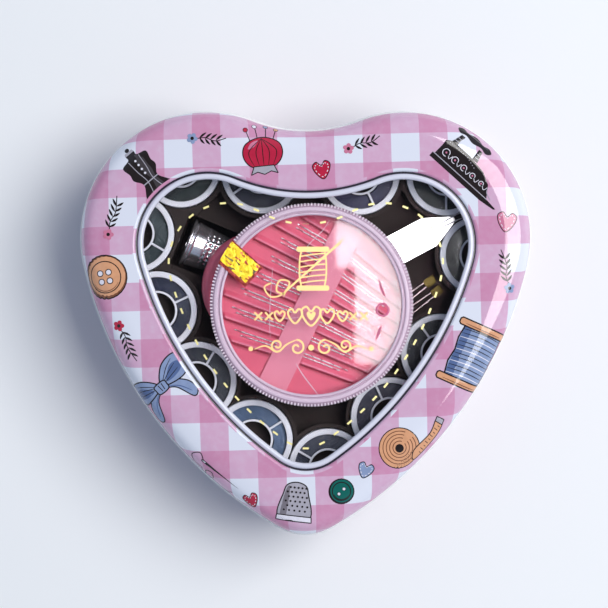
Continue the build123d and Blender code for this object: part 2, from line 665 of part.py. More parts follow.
def needles(fan, reaches):
    """Two needles lie side by side in each pocket between two pleats."""
    laid = []
    beside = NEEDLE_PITCH / (BANK_FROM - BANK_TO) / 2
    for k in range(PLEAT_COUNT - 1):
        for mate, way in enumerate((-1, 1)):
            start, angle = bank_row(fan, (k + 0.5) / (PLEAT_COUNT - 1) + way * beside)
            inner = abs(NEEDLE_MEET / math.sin(math.radians(angle - BAND_ANGLE)))
            spot = start + polar(COMPACT_X, COMPACT_Y, inner, angle)
            limit = reaches[k % len(reaches)] - NEEDLE_STAGGER * mate
            length = reach_out(start, angle, limit) - inner
            laid.append(Pos(spot.X, spot.Y, NEEDLE_LEVEL) * Rot(0, 0, angle) * needle(length))
    return Compound(children=laid)


def needle_card():
    """Pleated card: the pleats fan out between the needles."""
    r = BASE_R - COMPACT_WALL - CARD_PLAY
    low = COMPACT_FOOT + COMPACT_FLOOR
    card = disc(COMPACT_X, COMPACT_Y, r, low, CARD_TOP)
    for fan in (LEFT_FAN, RIGHT_FAN):
        for k in range(PLEAT_COUNT):
            start, angle = bank_row(fan, k / (PLEAT_COUNT - 1))
            inner, outer = BAND_WIDTH / 2, reach_out(start, angle, PLEAT_REACH)
            middle = start + polar(COMPACT_X, COMPACT_Y, (inner + outer) / 2, angle)
            card += bar(middle.X, middle.Y, angle, outer - inner, PLEAT_WIDTH,
                        low, CARD_TOP + PLEAT_RISE)
    return card


def needle_band():
    low = NEEDLE_LEVEL + NEEDLE_R
    return bar(COMPACT_X, COMPACT_Y, BAND_ANGLE, BAND_LENGTH, BAND_WIDTH, low, low + BAND_T)


def seal_label():
    """Foil strip on the grip band, folded down the cover's side."""
    top = COVER_TOP + SEAL_T
    over = disc(COMPACT_X, COMPACT_Y, COMPACT_R + SEAL_T, COVER_TOP - SEAL_DROP, top)
    middle = polar(COMPACT_X, COMPACT_Y, COMPACT_R - (SEAL_REACH - SEAL_PAST) / 2, SEAL_ANGLE)
    cut = bar(middle.X, middle.Y, SEAL_ANGLE + SEAL_ASKEW, SEAL_REACH + SEAL_PAST, SEAL_WIDTH,
              COVER_TOP - SEAL_DROP, top)
    return (over & cut) - disc(COMPACT_X, COMPACT_Y, COMPACT_R, COMPACT_FOOT, COVER_TOP)


# ---------------------------------------------------------------- tape measure
TAPE_TOP = POCKET_FLOOR + TAPE_HEIGHT
TAPE_SPLIT = POCKET_FLOOR + TAPE_HEIGHT / 2
TAPE_ROOM_LOW = POCKET_FLOOR + TAPE_WALL
TAPE_ROOM_HIGH = TAPE_TOP - TAPE_WALL
DRUM_LOW = TAPE_ROOM_LOW + TAPE_DRUM_PLAY
DRUM_HIGH = TAPE_ROOM_HIGH - TAPE_DRUM_PLAY - TAPE_BUTTON_TRAVEL


def tape_case():
    """Both halves as one hollow body, ready to be split level."""
    shell = fillet(disc(TAPE_X, TAPE_Y, TAPE_R, POCKET_FLOOR, TAPE_TOP).edges()
                   .filter_by(GeomType.CIRCLE), TAPE_EDGE_R)
    shell -= disc(TAPE_X, TAPE_Y, TAPE_R - TAPE_WALL - TAPE_EDGE_CLEAR,
                  TAPE_ROOM_LOW, TAPE_ROOM_HIGH)
    slot = polar(TAPE_X, TAPE_Y, TAPE_R, TAPE_MOUTH_ANGLE)
    shell -= bar(slot.X, slot.Y, TAPE_MOUTH_ANGLE, 2 * (TAPE_WALL + TAPE_EDGE_R), TAPE_MOUTH,
                 DRUM_LOW, DRUM_HIGH)
    return shell


def tape_case_bottom():
    half = tape_case() & disc(TAPE_X, TAPE_Y, TAPE_R, POCKET_FLOOR, TAPE_SPLIT)
    return half + disc(TAPE_X, TAPE_Y, TAPE_POST_R, TAPE_ROOM_LOW, DRUM_HIGH)


def tape_case_top():
    half = tape_case() & disc(TAPE_X, TAPE_Y, TAPE_R, TAPE_SPLIT, TAPE_TOP)
    return half - disc(TAPE_X, TAPE_Y, TAPE_BUTTON_R, TAPE_ROOM_HIGH, TAPE_TOP)


def tape_button():
    r = TAPE_BUTTON_R - TAPE_BUTTON_PLAY
    low = TAPE_ROOM_HIGH - TAPE_DRUM_PLAY / 2
    flange = disc(TAPE_X, TAPE_Y, TAPE_BUTTON_R + TAPE_BUTTON_FLANGE,
                  low - TAPE_BUTTON_SEAT, TAPE_ROOM_HIGH - TAPE_BUTTON_SEAT)
    return flange + disc(TAPE_X, TAPE_Y, r, low, TAPE_TOP - TAPE_BUTTON_SINK)


def tape_drum():
    hub = ring(TAPE_X, TAPE_Y, TAPE_HUB_R, TAPE_POST_R + TAPE_POST_PLAY, DRUM_LOW, DRUM_HIGH)
    cheek = ring(TAPE_X, TAPE_Y, TAPE_ROLL_R + RIBBON_MARGIN, TAPE_POST_R + TAPE_POST_PLAY,
                 DRUM_LOW, DRUM_LOW + RIBBON_MARGIN)
    cup = ring(TAPE_X, TAPE_Y, TAPE_HUB_R - TAPE_CUP_WALL, TAPE_POST_R + TAPE_CUP_WALL,
               (DRUM_LOW + DRUM_HIGH) / 2, DRUM_HIGH)
    return hub + cheek - cup


def tape_ribbon():
    return ring(TAPE_X, TAPE_Y, TAPE_ROLL_R, TAPE_HUB_R, DRUM_LOW + RIBBON_MARGIN, DRUM_HIGH)


def tape_spring():
    """Flat spiral return spring in the drum's cup."""
    moves = [("arc", TAPE_POST_R + SPRING_START + SPRING_PITCH * k / 2, 180)
             for k in range(2 * SPRING_TURNS - 2)]
    loop = strip((TAPE_POST_R + SPRING_START, 0), 90, moves, gauge=SPRING_T)
    face = section(loop, lambda u, v: Vector(u + TAPE_X, v + TAPE_Y, 0))
    low = (DRUM_LOW + DRUM_HIGH) / 2
    return slab(face, low, DRUM_HIGH - RIBBON_MARGIN)


def tape_tab():
    slot = polar(TAPE_X, TAPE_Y, TAPE_R + TAPE_TAB_OUT / 2, TAPE_MOUTH_ANGLE)
    tab = bar(slot.X, slot.Y, TAPE_MOUTH_ANGLE, TAPE_TAB_OUT, TAPE_MOUTH + 2 * TAPE_TAB_T,
              DRUM_LOW, DRUM_HIGH)
    tab -= disc(TAPE_X, TAPE_Y, TAPE_R + TAPE_TAB_PLAY, DRUM_LOW, DRUM_HIGH)
    neck = polar(TAPE_X, TAPE_Y, TAPE_R, TAPE_MOUTH_ANGLE)
    return tab + bar(neck.X, neck.Y, TAPE_MOUTH_ANGLE, 2 * TAPE_WALL, TAPE_TAB_T,
                     DRUM_LOW + RIBBON_MARGIN, DRUM_HIGH - RIBBON_MARGIN)


# ---------------------------------------------------------------- thimble
def thimble():
    """Turned cup with a rolled rim, laid on its side."""
    lean = math.atan((THIMBLE_RIM_R - THIMBLE_ROLL_R - THIMBLE_CROWN_R) / THIMBLE_LENGTH)
    inner = THIMBLE_RIM_R - THIMBLE_WALL - THIMBLE_ROLL_R
    closed = THIMBLE_BEND_R + THIMBLE_WALL - THIMBLE_BEND_R * math.sin(lean)
    side = (THIMBLE_LENGTH - closed) / math.cos(lean)
    flat = inner - side * math.sin(lean) - THIMBLE_BEND_R * math.cos(lean)
    loop = strip((inner, 0), 90 + math.degrees(lean),
                 [("line", side), ("arc", THIMBLE_BEND_R, 90 - math.degrees(lean)),
                  ("line", flat)], gauge=THIMBLE_WALL)
    roll = Torus(THIMBLE_RIM_R - THIMBLE_ROLL_R, THIMBLE_ROLL_R)
    cup = turned(loop) + Pos(0, 0, THIMBLE_ROLL_R) * roll
    laid = Rot(0, 90 + thimble_tilt(), 0) * cup
    rise = thimble_floor() - laid.bounding_box().min.Z
    return Pos(THIMBLE_X, THIMBLE_Y, rise) * Rot(0, 0, THIMBLE_ANGLE) * laid


# ---------------------------------------------------------------- threader
def threader_frame():
    """Where the threader's grip lies: local x runs from the grip end to the tip."""
    spot, height = threader_end()
    return Pos(spot.X, spot.Y, height) * Rot(0, 0, THREADER_ANGLE) * Rot(0, THREADER_TILT, 0)


def threader_plate():
    half, tip = THREADER_WIDTH / 2, THREADER_TIP / 2
    neck = THREADER_LENGTH - THREADER_TAPER
    corner = THREADER_CORNER
    shape = Polyline((corner, -half), (neck, -half), (THREADER_LENGTH, -tip),
                     (THREADER_LENGTH, tip), (neck, half), (corner, half), (0, half - corner),
                     (0, corner - half), (corner, -half))
    grip = extrude(make_face(shape.edges()), THREADER_T)
    wide = Pos(neck / 2, 0, THREADER_T) * Box(neck - 2 * THREADER_BORDER,
                                              THREADER_WIDTH - 2 * THREADER_BORDER,
                                              THREADER_EMBOSS)
    crimp = Pos(THREADER_LENGTH - WIRE_START, 0, THREADER_T + WIRE_D / 2)
    return threader_frame() * (grip + wide + crimp * Box(CRIMP_LENGTH, CRIMP_WIDTH, WIRE_D))


def threader_wire():
    """Diamond of fine wire from the crimp, held clear over the spools."""
    back = THREADER_LENGTH - WIRE_START + CRIMP_LENGTH / 2
    crimp = threader_frame() * Pos(back, 0, THREADER_T + WIRE_D / 2)
    start = crimp.position
    level = SPOOL_TOP + WIRE_OVER_SPOOL + WIRE_D / 2
    out = polar(0, 0, 1, THREADER_ANGLE)
    side = polar(0, 0, 1, THREADER_ANGLE + 90)

    def spot(forward, sideways, height):
        flat = start + out * forward + side * sideways
        return Vector(flat.X, flat.Y, height)

    arms = []
    for way in (-1, 1):
        path = FilletPolyline(spot(0, way * WIRE_FOOT, start.Z),
                              spot(WIRE_START, way * WIRE_WAIST, level),
                              spot(WIRE_LENGTH * WIRE_WIDEST, way * WIRE_SPREAD, level),
                              spot(WIRE_LENGTH, way * WIRE_D / 2, level), radius=WIRE_BEND_R)
        arms.append(sweep(Plane(path @ 0, z_dir=path % 0) * Circle(WIRE_D / 2), path))
    return arms[0] + arms[1]


# ---------------------------------------------------------------- safety pins
def pin_places():
    for k in range(PIN_COUNT):
        yield polar(PIN_X, PIN_Y, k * PIN_STEP, PIN_ANGLE + 90)


def safety_pin_wires():
    """Each wire runs out along one arm, round the coil end and back along the other."""
    level = POCKET_FLOOR + PIN_HEAD_T / 2
    wires = []
    for head in pin_places():
        half = PIN_SPREAD / 2
        path = FilletPolyline((0, PIN_FOOT, 0), (PIN_OPEN, half, 0),
                              (PIN_LENGTH, half, 0), (PIN_LENGTH, -half, 0),
                              (0, -PIN_FOOT, 0), radius=PIN_COIL_R)
        wire = sweep(Plane(path @ 0, z_dir=path % 0) * Circle(PIN_WIRE_D / 2), path)
        wires.append(Pos(head.X, head.Y, level) * Rot(0, 0, PIN_ANGLE) * wire)
    return Compound(children=wires)


def safety_pin_heads():
    heads = []
    for head in pin_places():
        cap = Pos(-PIN_HEAD_LENGTH / 2, 0, 0) * Box(PIN_HEAD_LENGTH, PIN_HEAD_WIDTH, PIN_HEAD_T)
        cap = fillet(cap.edges().filter_by(Axis.Z), PIN_HEAD_CORNER)
        level = POCKET_FLOOR + PIN_HEAD_T / 2
        heads.append(Pos(head.X, head.Y, level) * Rot(0, 0, PIN_ANGLE) * cap)
    return Compound(children=heads)


# ---------------------------------------------------------------- write the parts
def main():
    os.makedirs("parts", exist_ok=True)
    save(base_wall(), "base_wall")
    save(base_bottom(), "base_bottom")
    save(lid_shell(), "lid_shell")
    save(lid_window(), "lid_window")
    save(tray(), "tray")
    for number, spot in enumerate(SPOOLS, 1):
        save(spool(spot.X, spot.Y, RIB_WAYS[(number - 1) % len(RIB_WAYS)]), f"spool_{number:02d}")
        save(thread(spot.X, spot.Y), f"thread_{number:02d}")
    save(compact_base(), "compact_base")
    save(compact_cover(), "compact_cover")
    save(needle_card(), "needle_card")
    save(needles(LEFT_FAN, LEFT_REACH), "needles_left")
    save(needles(RIGHT_FAN, RIGHT_REACH), "needles_right")
    save(needle_band(), "needle_band")
    save(seal_label(), "seal_label")
    save(tape_case_bottom(), "tape_case_bottom")
    save(tape_case_top(), "tape_case_top")
    save(tape_button(), "tape_button")
    save(tape_drum(), "tape_drum")
    save(tape_ribbon(), "tape_ribbon")
    save(tape_spring(), "tape_spring")
    save(tape_tab(), "tape_tab")
    save(thimble(), "thimble")
    save(threader_plate(), "threader_plate")
    save(threader_wire(), "threader_wire")
    save(safety_pin_wires(), "safety_pin_wires")
    save(safety_pin_heads(), "safety_pin_heads")
    for number, spot in enumerate(SPOOLS, 1):
        print(f"spool {number}: {spot.X:.4f}, {spot.Y:.4f}")


main()
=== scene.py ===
# %% [markdown]
# # A heart-shaped sewing tin
# The tin is a printed tinplate box with a slip lid. A clear window shows a black tray,
# twelve spools of thread and the small tools that lie among them. The construction comes
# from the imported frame: its nodes keep their places and sizes, and this script dresses them.

# %% Tools, and the frame
import math
from collections import namedtuple
from functools import partial

import bmesh
import bpy
import numpy as np
from mathutils import Matrix, Vector
from mathutils.geometry import delaunay_2d_cdt


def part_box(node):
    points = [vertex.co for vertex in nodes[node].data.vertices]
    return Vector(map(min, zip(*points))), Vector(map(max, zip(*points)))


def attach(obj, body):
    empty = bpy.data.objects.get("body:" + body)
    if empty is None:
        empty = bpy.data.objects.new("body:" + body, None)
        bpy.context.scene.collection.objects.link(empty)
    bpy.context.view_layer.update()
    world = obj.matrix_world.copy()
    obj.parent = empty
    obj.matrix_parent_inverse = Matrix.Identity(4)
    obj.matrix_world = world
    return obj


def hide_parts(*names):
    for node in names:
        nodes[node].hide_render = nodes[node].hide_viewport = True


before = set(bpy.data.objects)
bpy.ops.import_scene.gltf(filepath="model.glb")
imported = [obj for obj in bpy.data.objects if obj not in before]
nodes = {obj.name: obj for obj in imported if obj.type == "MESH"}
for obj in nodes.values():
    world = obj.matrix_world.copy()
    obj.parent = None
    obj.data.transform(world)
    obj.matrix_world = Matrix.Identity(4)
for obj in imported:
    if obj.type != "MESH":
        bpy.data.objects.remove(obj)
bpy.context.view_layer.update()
MM = 0.001

# %% [markdown]
# ## Camera, floor and light
# The tin lies on a pale table and is seen from straight above, so the camera looks down its
# own -Z axis and needs no turning. One big soft lamp stands to the right: it puts the white
# band on the right shoulder of the lid and a soft blue shadow on the left. Two small lamps
# hang to the right of the camera and are seen only as glare: the flat window throws them
# past the lens, and the domed cover of the compact catches them. A pale world fills in,
# with a dark ceiling overhead, so black plastic stays black.

# %% Camera
SPOOL_LEVEL = 0.040               # height that the camera distance is counted from
CAMERA_RISE = 0.700
CAMERA_X, CAMERA_Y = -0.0006, 0.0065
VIEW_WIDTH = 0.2067               # seen at that height, from edge to edge

camera_data = bpy.data.cameras.new("camera")
camera_data.sensor_fit = "HORIZONTAL"
camera_data.angle = 2 * math.atan(VIEW_WIDTH / 2 / CAMERA_RISE)
camera = bpy.data.objects.new("camera", camera_data)
camera.location = (CAMERA_X, CAMERA_Y, SPOOL_LEVEL + CAMERA_RISE)
bpy.context.scene.collection.objects.link(camera)
bpy.context.scene.camera = camera
bpy.context.scene.view_settings.view_transform = "Standard"
print("camera stands", round(camera.location.z, 3), "m above the table")


# %% Material helpers
def material(name):
    """A new node material: its node tree and its Principled shader."""
    made = bpy.data.materials.new(name)
    made.use_nodes = True
    return made, made.node_tree, made.node_tree.nodes["Principled BSDF"]


def plug(socket, value):
    """A constant, or the output of another node, into a socket."""
    if isinstance(value, bpy.types.NodeSocket):
        socket.id_data.links.new(value, socket)
    else:
        socket.default_value = value


def node(tree, kind, plugs=(), **settings):
    """A new node with its settings, and with what goes into its sockets."""
    made = tree.nodes.new(kind)
    for key, value in settings.items():
        setattr(made, key, value)
    for key, value in dict(plugs).items():
        plug(made.inputs[key], value)
    return made


def finish(shader, **values):
    """What goes straight into the shader's own sockets."""
    for key, value in values.items():
        plug(shader.inputs[key.replace("_", " ")], value)


def wear(owner, made):
    """Every slot of an object takes this one material."""
    owner.data.materials.clear()
    owner.data.materials.append(made)


def dress(made, *names):
    """Nodes of the frame take this material."""
    for name in names:
        wear(nodes[name], made)


# %% Floor and room
FLOOR_SIZE = 6
FLOOR_WHITE = (0.87, 0.88, 0.89, 1)
ROOM_TINT = (0.62, 0.77, 1.0, 1)
SKY_FADE = (0.87, 0.975)          # height of the way up where the dark ceiling sets in
SKY_STRENGTH = (0.45, 0.03)       # round the room, and straight overhead
floor_material, _, floor_shader = material("table")
finish(floor_shader, Base_Color=FLOOR_WHITE, Roughness=0.9, Specular_IOR_Level=0.1)
bpy.ops.mesh.primitive_plane_add(size=FLOOR_SIZE)
table = bpy.context.object
table.name = "table"
wear(table, floor_material)

world = bpy.data.worlds.new("room")
bpy.context.scene.world = world
world.use_nodes = True
sky = world.node_tree
way_up = node(sky, "ShaderNodeTexCoord").outputs["Generated"]
way_up = node(sky, "ShaderNodeSeparateXYZ", {0: way_up}).outputs["Z"]
sky_ends = zip(("From Min", "From Max", "To Min", "To Max"), SKY_FADE + SKY_STRENGTH)
sky_fade = node(sky, "ShaderNodeMapRange", {"Value": way_up, **dict(sky_ends)},
                interpolation_type="SMOOTHSTEP")
finish(sky.nodes["Background"], Color=ROOM_TINT, Strength=sky_fade.outputs["Result"])
print("floor and room stand")


# %% Lights
def softbox(name, place, aim, width, height, power, tint=(1, 1, 1), gloss_only=False):
    """A rectangular lamp that looks at a point; one kind is seen only as a reflection."""
    data = bpy.data.lights.new(name, "AREA")
    data.shape = "RECTANGLE"
    data.size, data.size_y = width, height
    data.energy, data.color = power, tint
    lamp = bpy.data.objects.new(name, data)
    lamp.visible_diffuse = not gloss_only
    lamp.location = place
    lamp.rotation_euler = (Vector(aim) - Vector(place)).to_track_quat("-Z", "Y").to_euler()
    bpy.context.scene.collection.objects.link(lamp)
    return lamp


softbox("window_light", (0.78, 0.22, 1.32), (0, 0, 0.03), 1.0, 1.0, 22.6, (1, 0.98, 0.955))
CEILING, CEILING_TINT = 1.5, (1, 0.97, 0.98)
ceiling_lamps = [softbox(name, (x, y, CEILING), (x, y, 0), *size_and_power, CEILING_TINT, True)
                 for name, x, y, *size_and_power in (
                     ("ceiling_strip", 0.276, -0.035, 0.207, 0.37, 2.7),
                     ("ceiling_panel", 0.24, 0.285, 0.28, 0.27, 2.6))]

# %% [markdown]
# ## The outline of the tin
# A heart is six arcs that meet smoothly: two lobes, two long flanks, the tip, and the hollow
# of the notch. Every skin of the tin is that outline moved in or out, so one list of stations
# with their outward directions serves the lid, the window and the print.

# %% Hearts
Arc = namedtuple("Arc", "x y r start end side")


def heart(width, length, lobe_r, notch_r, side_r, tip_r, shift=0.0):
    """The six arcs of a heart, anticlockwise; side is -1 on the hollow notch."""
    lobe = Vector((width / 2 - lobe_r, length / 2 - lobe_r))
    tip = Vector((0, tip_r - length / 2))
    notch_y = lobe.y + math.sqrt((notch_r + lobe_r) ** 2 - lobe.x ** 2)
    run = tip - lobe
    reach = ((side_r - lobe_r) ** 2 - (side_r - tip_r) ** 2 + run.length ** 2) / 2 / run.length
    across = math.sqrt((side_r - lobe_r) ** 2 - reach ** 2)
    along = run.normalized()
    flank = lobe + along * reach + Vector((along.y, -along.x)) * across
    into_notch = math.atan2(notch_y - lobe.y, -lobe.x)
    into_side = math.atan2(lobe.y - flank.y, lobe.x - flank.x)
    into_tip = math.atan2(tip.y - flank.y, tip.x - flank.x)
    half = math.pi
    return [Arc(0, notch_y + shift, notch_r, -half / 2, -into_notch, -1),
            Arc(-lobe.x, lobe.y + shift, lobe_r, half - into_notch, half - into_side, 1),
            Arc(-flank.x, flank.y + shift, side_r, half - into_side, half - into_tip, 1),
            Arc(0, tip.y + shift, tip_r, -half - into_tip, into_tip, 1),
            Arc(flank.x, flank.y + shift, side_r, into_tip, into_side, 1),
            Arc(lobe.x, lobe.y + shift, lobe_r, into_side, into_notch, 1),
            Arc(0, notch_y + shift, notch_r, into_notch - half, -half / 2, -1)]


def stations(arcs, spacing):
    """Points round the outline with their outward directions, `spacing` apart or less."""
    points, normals = [], []
    for a in arcs:
        count = max(2, math.ceil(abs(a.end - a.start) * a.r / spacing))
        for k in range(count):
            t = a.start + (a.end - a.start) * k / count
            way = np.array([math.cos(t), math.sin(t)])
            points.append(np.array([a.x, a.y]) + a.r * way)
            normals.append(a.side * way)
    return np.array(points), np.array(normals)


lid_low, lid_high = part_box("lid_shell")
BEAD_LINE = heart(lid_high.x - lid_low.x, lid_high.y - lid_low.y, lobe_r=0.0435,
                  notch_r=0.0485, side_r=0.140, tip_r=0.0187)

WINDOW_LAP = 0.003                # clear sheet beyond the groove line
window_low, window_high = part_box("lid_window")
WINDOW_LINE = heart(window_high.x - window_low.x - 2 * WINDOW_LAP,
                    window_high.y - window_low.y - 2 * WINDOW_LAP,
                    lobe_r=0.024, notch_r=0.0642, side_r=0.122, tip_r=0.0157,
                    shift=(window_high.y + window_low.y) / 2)
print("outline stations:", len(stations(BEAD_LINE, 0.002)[0]))

# %% [markdown]
# ## Bent sheet metal
# The lid is one pressed sheet. Its section is drawn as a path of straight runs and bends, as
# a press tool makes it, with the sheet's thickness beside the path. Carried round the outline
# it makes a closed skin. Each point also keeps its place on the flat printed sheet, so the
# gingham runs down the shoulder and the skirt without stretching, as print on tin does.

# %% A bent section
Section = namedtuple("Section", "near far bands")   # bands name each stretch of the path
FINE_TURN, FINE_CHORD = math.radians(9), 0.0007     # most that one step of a bend may take


def bend(start, heading, moves, gauge):
    """Path of ("line", length, band) and ("arc", radius, degrees, band); sheet on its right."""
    at, angle = Vector(start), math.radians(heading)
    near, far, bands = [], [], []

    def put():
        right = Vector((math.sin(angle), -math.cos(angle)))
        near.append(tuple(at))
        far.append(tuple(at + right * gauge))

    put()
    for kind, size, *rest in moves:
        band = rest[-1]
        if kind == "line":
            at = at + Vector((math.cos(angle), math.sin(angle))) * size
            put()
            bands.append(band)
            continue
        turn = math.radians(rest[0])
        count = max(2, math.ceil(abs(turn) / FINE_TURN),
                    math.ceil(abs(turn) * size / FINE_CHORD))
        way = math.copysign(1, turn)
        centre = at + Vector((-math.sin(angle), math.cos(angle))) * size * way
        for _ in range(count):
            at = centre + Matrix.Rotation(turn / count, 2) @ (at - centre)
            angle += turn / count
            put()
            bands.append(band)
    return Section(near, far, bands)


# %% Carry a section round an outline
def carry(bm, arcs, section, spacing, slots, panel_u, open_ends):
    """Sweep a section round an outline. Returns the rings of vertices at both of its ends."""
    points, normals = stations(arcs, spacing)
    flat_uv = bm.loops.layers.uv.verify()
    rows = []
    for path in (section.far, section.near):
        for u, z in path:
            place = points + normals * u
            rows.append([bm.verts.new((p[0], p[1], z)) for p in place])
    count = len(section.far)
    far, near = rows[:count], rows[count:]
    total = sum(math.dist(a, b) for a, b in zip(section.far, section.far[1:]))
    spent = 0.0
    sheets = []
    for k, band in enumerate(section.bands):
        spent_next = spent + math.dist(section.far[k], section.far[k + 1])
        sheets.append((far[k], far[k + 1], slots[band], total - spent, total - spent_next, False))
        sheets.append((near[k], near[k + 1], slots["inside"], 0, 0, True))
        spent = spent_next
    if not open_ends[0]:
        sheets.append((near[0], far[0], slots[section.bands[0]], total, total, False))
    if not open_ends[1]:
        sheets.append((far[-1], near[-1], slots[section.bands[-1]], 0, 0, False))
    size = len(points)
    for low, high, slot, down, up, flip in sheets:
        for j in range(size):
            i = (j + 1) % size
            ring = [low[j], low[i], high[i], high[j]]
            spots = [(j, down), (i, down), (i, up), (j, up)]
            if flip:
                ring, spots = ring[::-1], spots[::-1]
            face = bm.faces.new(ring)
            face.material_index, face.smooth = slot, True
            for loop, (s, reach) in zip(face.loops, spots):
                loop[flat_uv].uv = points[s] + normals[s] * (panel_u + reach)
    return (far[0], near[0]), (far[-1], near[-1])


# %% Close the skin
def ring_holds(spot, ring):
    """Whether a spot lies inside a closed ring of points."""
    inside = False
    for a, b in zip(ring, ring[1:] + ring[:1]):
        if (a.y > spot.y) != (b.y > spot.y):
            if spot.x < a.x + (spot.y - a.y) / (b.y - a.y) * (b.x - a.x):
                inside = not inside
    return inside


def fill_between(bm, outer, inner, slot, down, inside=()):
    """Face between two closed rings of vertices; `inside` vertices let it bend."""
    flat_uv = bm.loops.layers.uv.verify()
    verts = outer + inner + list(inside)
    count, whole = len(outer), len(outer) + len(inner)
    edges = [(k, (k + 1) % count) for k in range(count)]
    edges += [(k, count + (k + 1 - count) % len(inner)) for k in range(count, whole)]
    spots = [Vector(v.co.xy) for v in verts]
    rim, hole = spots[:count], spots[count:whole]
    _, _, faces, origins, _, _ = delaunay_2d_cdt(spots, edges, [], 0, 1e-9)
    for face in faces:
        middle = sum((spots[origins[k][0]] for k in face), Vector((0, 0))) / 3
        if not ring_holds(middle, rim) or ring_holds(middle, hole):
            continue
        ring = [verts[origins[k][0]] for k in face]
        made = bm.faces.new(ring[::-1] if down else ring)
        made.material_index, made.smooth = slot, True
        for loop in made.loops:
            loop[flat_uv].uv = loop.vert.co.xy


# %% The lid's section
PLATE = 0.0004                    # tinplate
TIN_HEIGHT = lid_high.z
BEAD_PROUD = 0.0015               # rolled bead beyond the inside of the skirt
BEAD_TURN = 280
SHOULDER_R, SHOULDER_TURN, CROWN_R = 0.006, 75, 0.022
GROOVE_EDGE_R, GROOVE_SLOPE, GROOVE_FALL, GROOVE_R = 0.0008, 55, 0.0004, 0.00045
HEM_RISE, HEM_R = 0.0003, 0.00095
PANEL_RIM = 0.0003                # level strip at both edges of the panel keeps its shine even

TIGHT, SOFT, SLOPE = (math.radians(turn) for turn in (SHOULDER_TURN, 90 - SHOULDER_TURN,
                                                      GROOVE_SLOPE))
SHOULDER_FOOT = TIN_HEIGHT - SHOULDER_R * math.sin(TIGHT) - CROWN_R * (1 - math.cos(SOFT))
SKIRT_OUT = PLATE - BEAD_PROUD
PANEL_U = SKIRT_OUT - SHOULDER_R * (1 - math.cos(TIGHT)) - CROWN_R * math.sin(SOFT)
HEM_START = (GROOVE_EDGE_R + GROOVE_R) * math.sin(SLOPE) + GROOVE_FALL * math.cos(SLOPE)
HEM_TAIL = ((GROOVE_R + HEM_R) * (1 - math.cos(SLOPE)) + HEM_RISE * math.sin(SLOPE)
            - (HEM_R - PLATE))


def skirt_section():
    """From inside the rolled bead, round it, up the skirt and over the shoulder."""
    bead_r = BEAD_PROUD / 2
    bead_z = lid_low.z + bead_r
    first = math.radians(180 + BEAD_TURN)
    start = (bead_r - BEAD_PROUD + bead_r * math.cos(first), bead_z + bead_r * math.sin(first))
    moves = [("arc", bead_r, -BEAD_TURN, "foot"),
             ("line", SHOULDER_FOOT - bead_z, "print"),
             ("arc", SHOULDER_R - PLATE, SHOULDER_TURN, "print"),
             ("arc", CROWN_R - PLATE, 90 - SHOULDER_TURN, "print"),
             ("line", PANEL_RIM, "print")]
    return bend(start, 90 + BEAD_TURN, moves, PLATE)


def hem_section():
    """From the panel down into the groove and over the rounded hem."""
    moves = [("line", PANEL_RIM, "print"),
             ("arc", GROOVE_EDGE_R - PLATE, GROOVE_SLOPE, "print"),
             ("line", GROOVE_FALL, "print"),
             # the groove's bottom: a dark printed keyline that also paints the groove's shade
             ("arc", GROOVE_R + PLATE, -GROOVE_SLOPE, "groove_shade_keyline"),
             ("arc", GROOVE_R + PLATE, -GROOVE_SLOPE, "groove_shade_keyline"),
             ("line", HEM_RISE, "bead"),
             ("arc", HEM_R - PLATE, GROOVE_SLOPE + 90, "bead"),
             ("line", HEM_TAIL, "bead")]
    return bend((HEM_START + PANEL_RIM, TIN_HEIGHT - PLATE), 180, moves, PLATE)


# %% From mesh to piece
CREASE = math.radians(38)         # edges sharper than this stay crisp
WELD = 1e-6                       # vertices nearer than this become one


def place_mesh(name, mesh):
    """An object at the origin that holds this mesh."""
    piece = bpy.data.objects.new(name, mesh)
    bpy.context.scene.collection.objects.link(piece)
    return piece


def counted(piece):
    """Print how many triangles a piece has, and hand it back."""
    print(piece.name, "has", sum(len(p.vertices) - 2 for p in piece.data.polygons), "triangles")
    return piece


def new_piece(bm, name, materials):
    """A finished mesh becomes a piece of its own."""
    bmesh.ops.remove_doubles(bm, verts=bm.verts, dist=WELD)
    mesh = bpy.data.meshes.new(name)
    bm.to_mesh(mesh)
    bm.free()
    mesh.set_sharp_from_angle(angle=CREASE)
    for made in materials:
        mesh.materials.append(made)
    return counted(place_mesh(name, mesh))


# %% [markdown]
# ## What many finishes share
# No made thing is quite even: its colour is cloudy, and a fine grain breaks its shine. Two
# node groups do this for most materials. One mixes two colours by a noise; the other turns
# a noise into a roughness and a bump. Each is built once and gets its own values in place.


# %% Noise, bumps and mixes
def noise(tree, scale, detail=2, place=None):
    """Noise on the piece's own coordinates, or on those given."""
    place = place or node(tree, "ShaderNodeTexCoord").outputs["Object"]
    plugs = {"Vector": place, "Scale": scale, "Detail": detail}
    return node(tree, "ShaderNodeTexNoise", plugs).outputs["Fac"]


def between(tree, share, low, high):
    """A share from 0 to 1 becomes a value from low to high."""
    plugs = {"Value": share, "To Min": low, "To Max": high}
    return node(tree, "ShaderNodeMapRange", plugs).outputs["Result"]


def rough_skin(tree, height, strength, distance):
    """The normals of a finely uneven surface."""
    plugs = {"Height": height, "Strength": strength, "Distance": distance}
    return node(tree, "ShaderNodeBump", plugs).outputs["Normal"]


def mixed(tree, share, first, second, **settings):
    """One colour into another by a share; each is (r, g, b) or a socket."""
    plugs = {"Factor": share}
    for key, colour in (("A", first), ("B", second)):
        plugs[key] = colour if isinstance(colour, bpy.types.NodeSocket) else (*colour, 1)
    return node(tree, "ShaderNodeMix", plugs, data_type="RGBA", **settings).outputs["Result"]


def math_node(tree, kind, *values):
    """A Math node on numbers or sockets."""
    return node(tree, "ShaderNodeMath", enumerate(values), operation=kind).outputs[0]


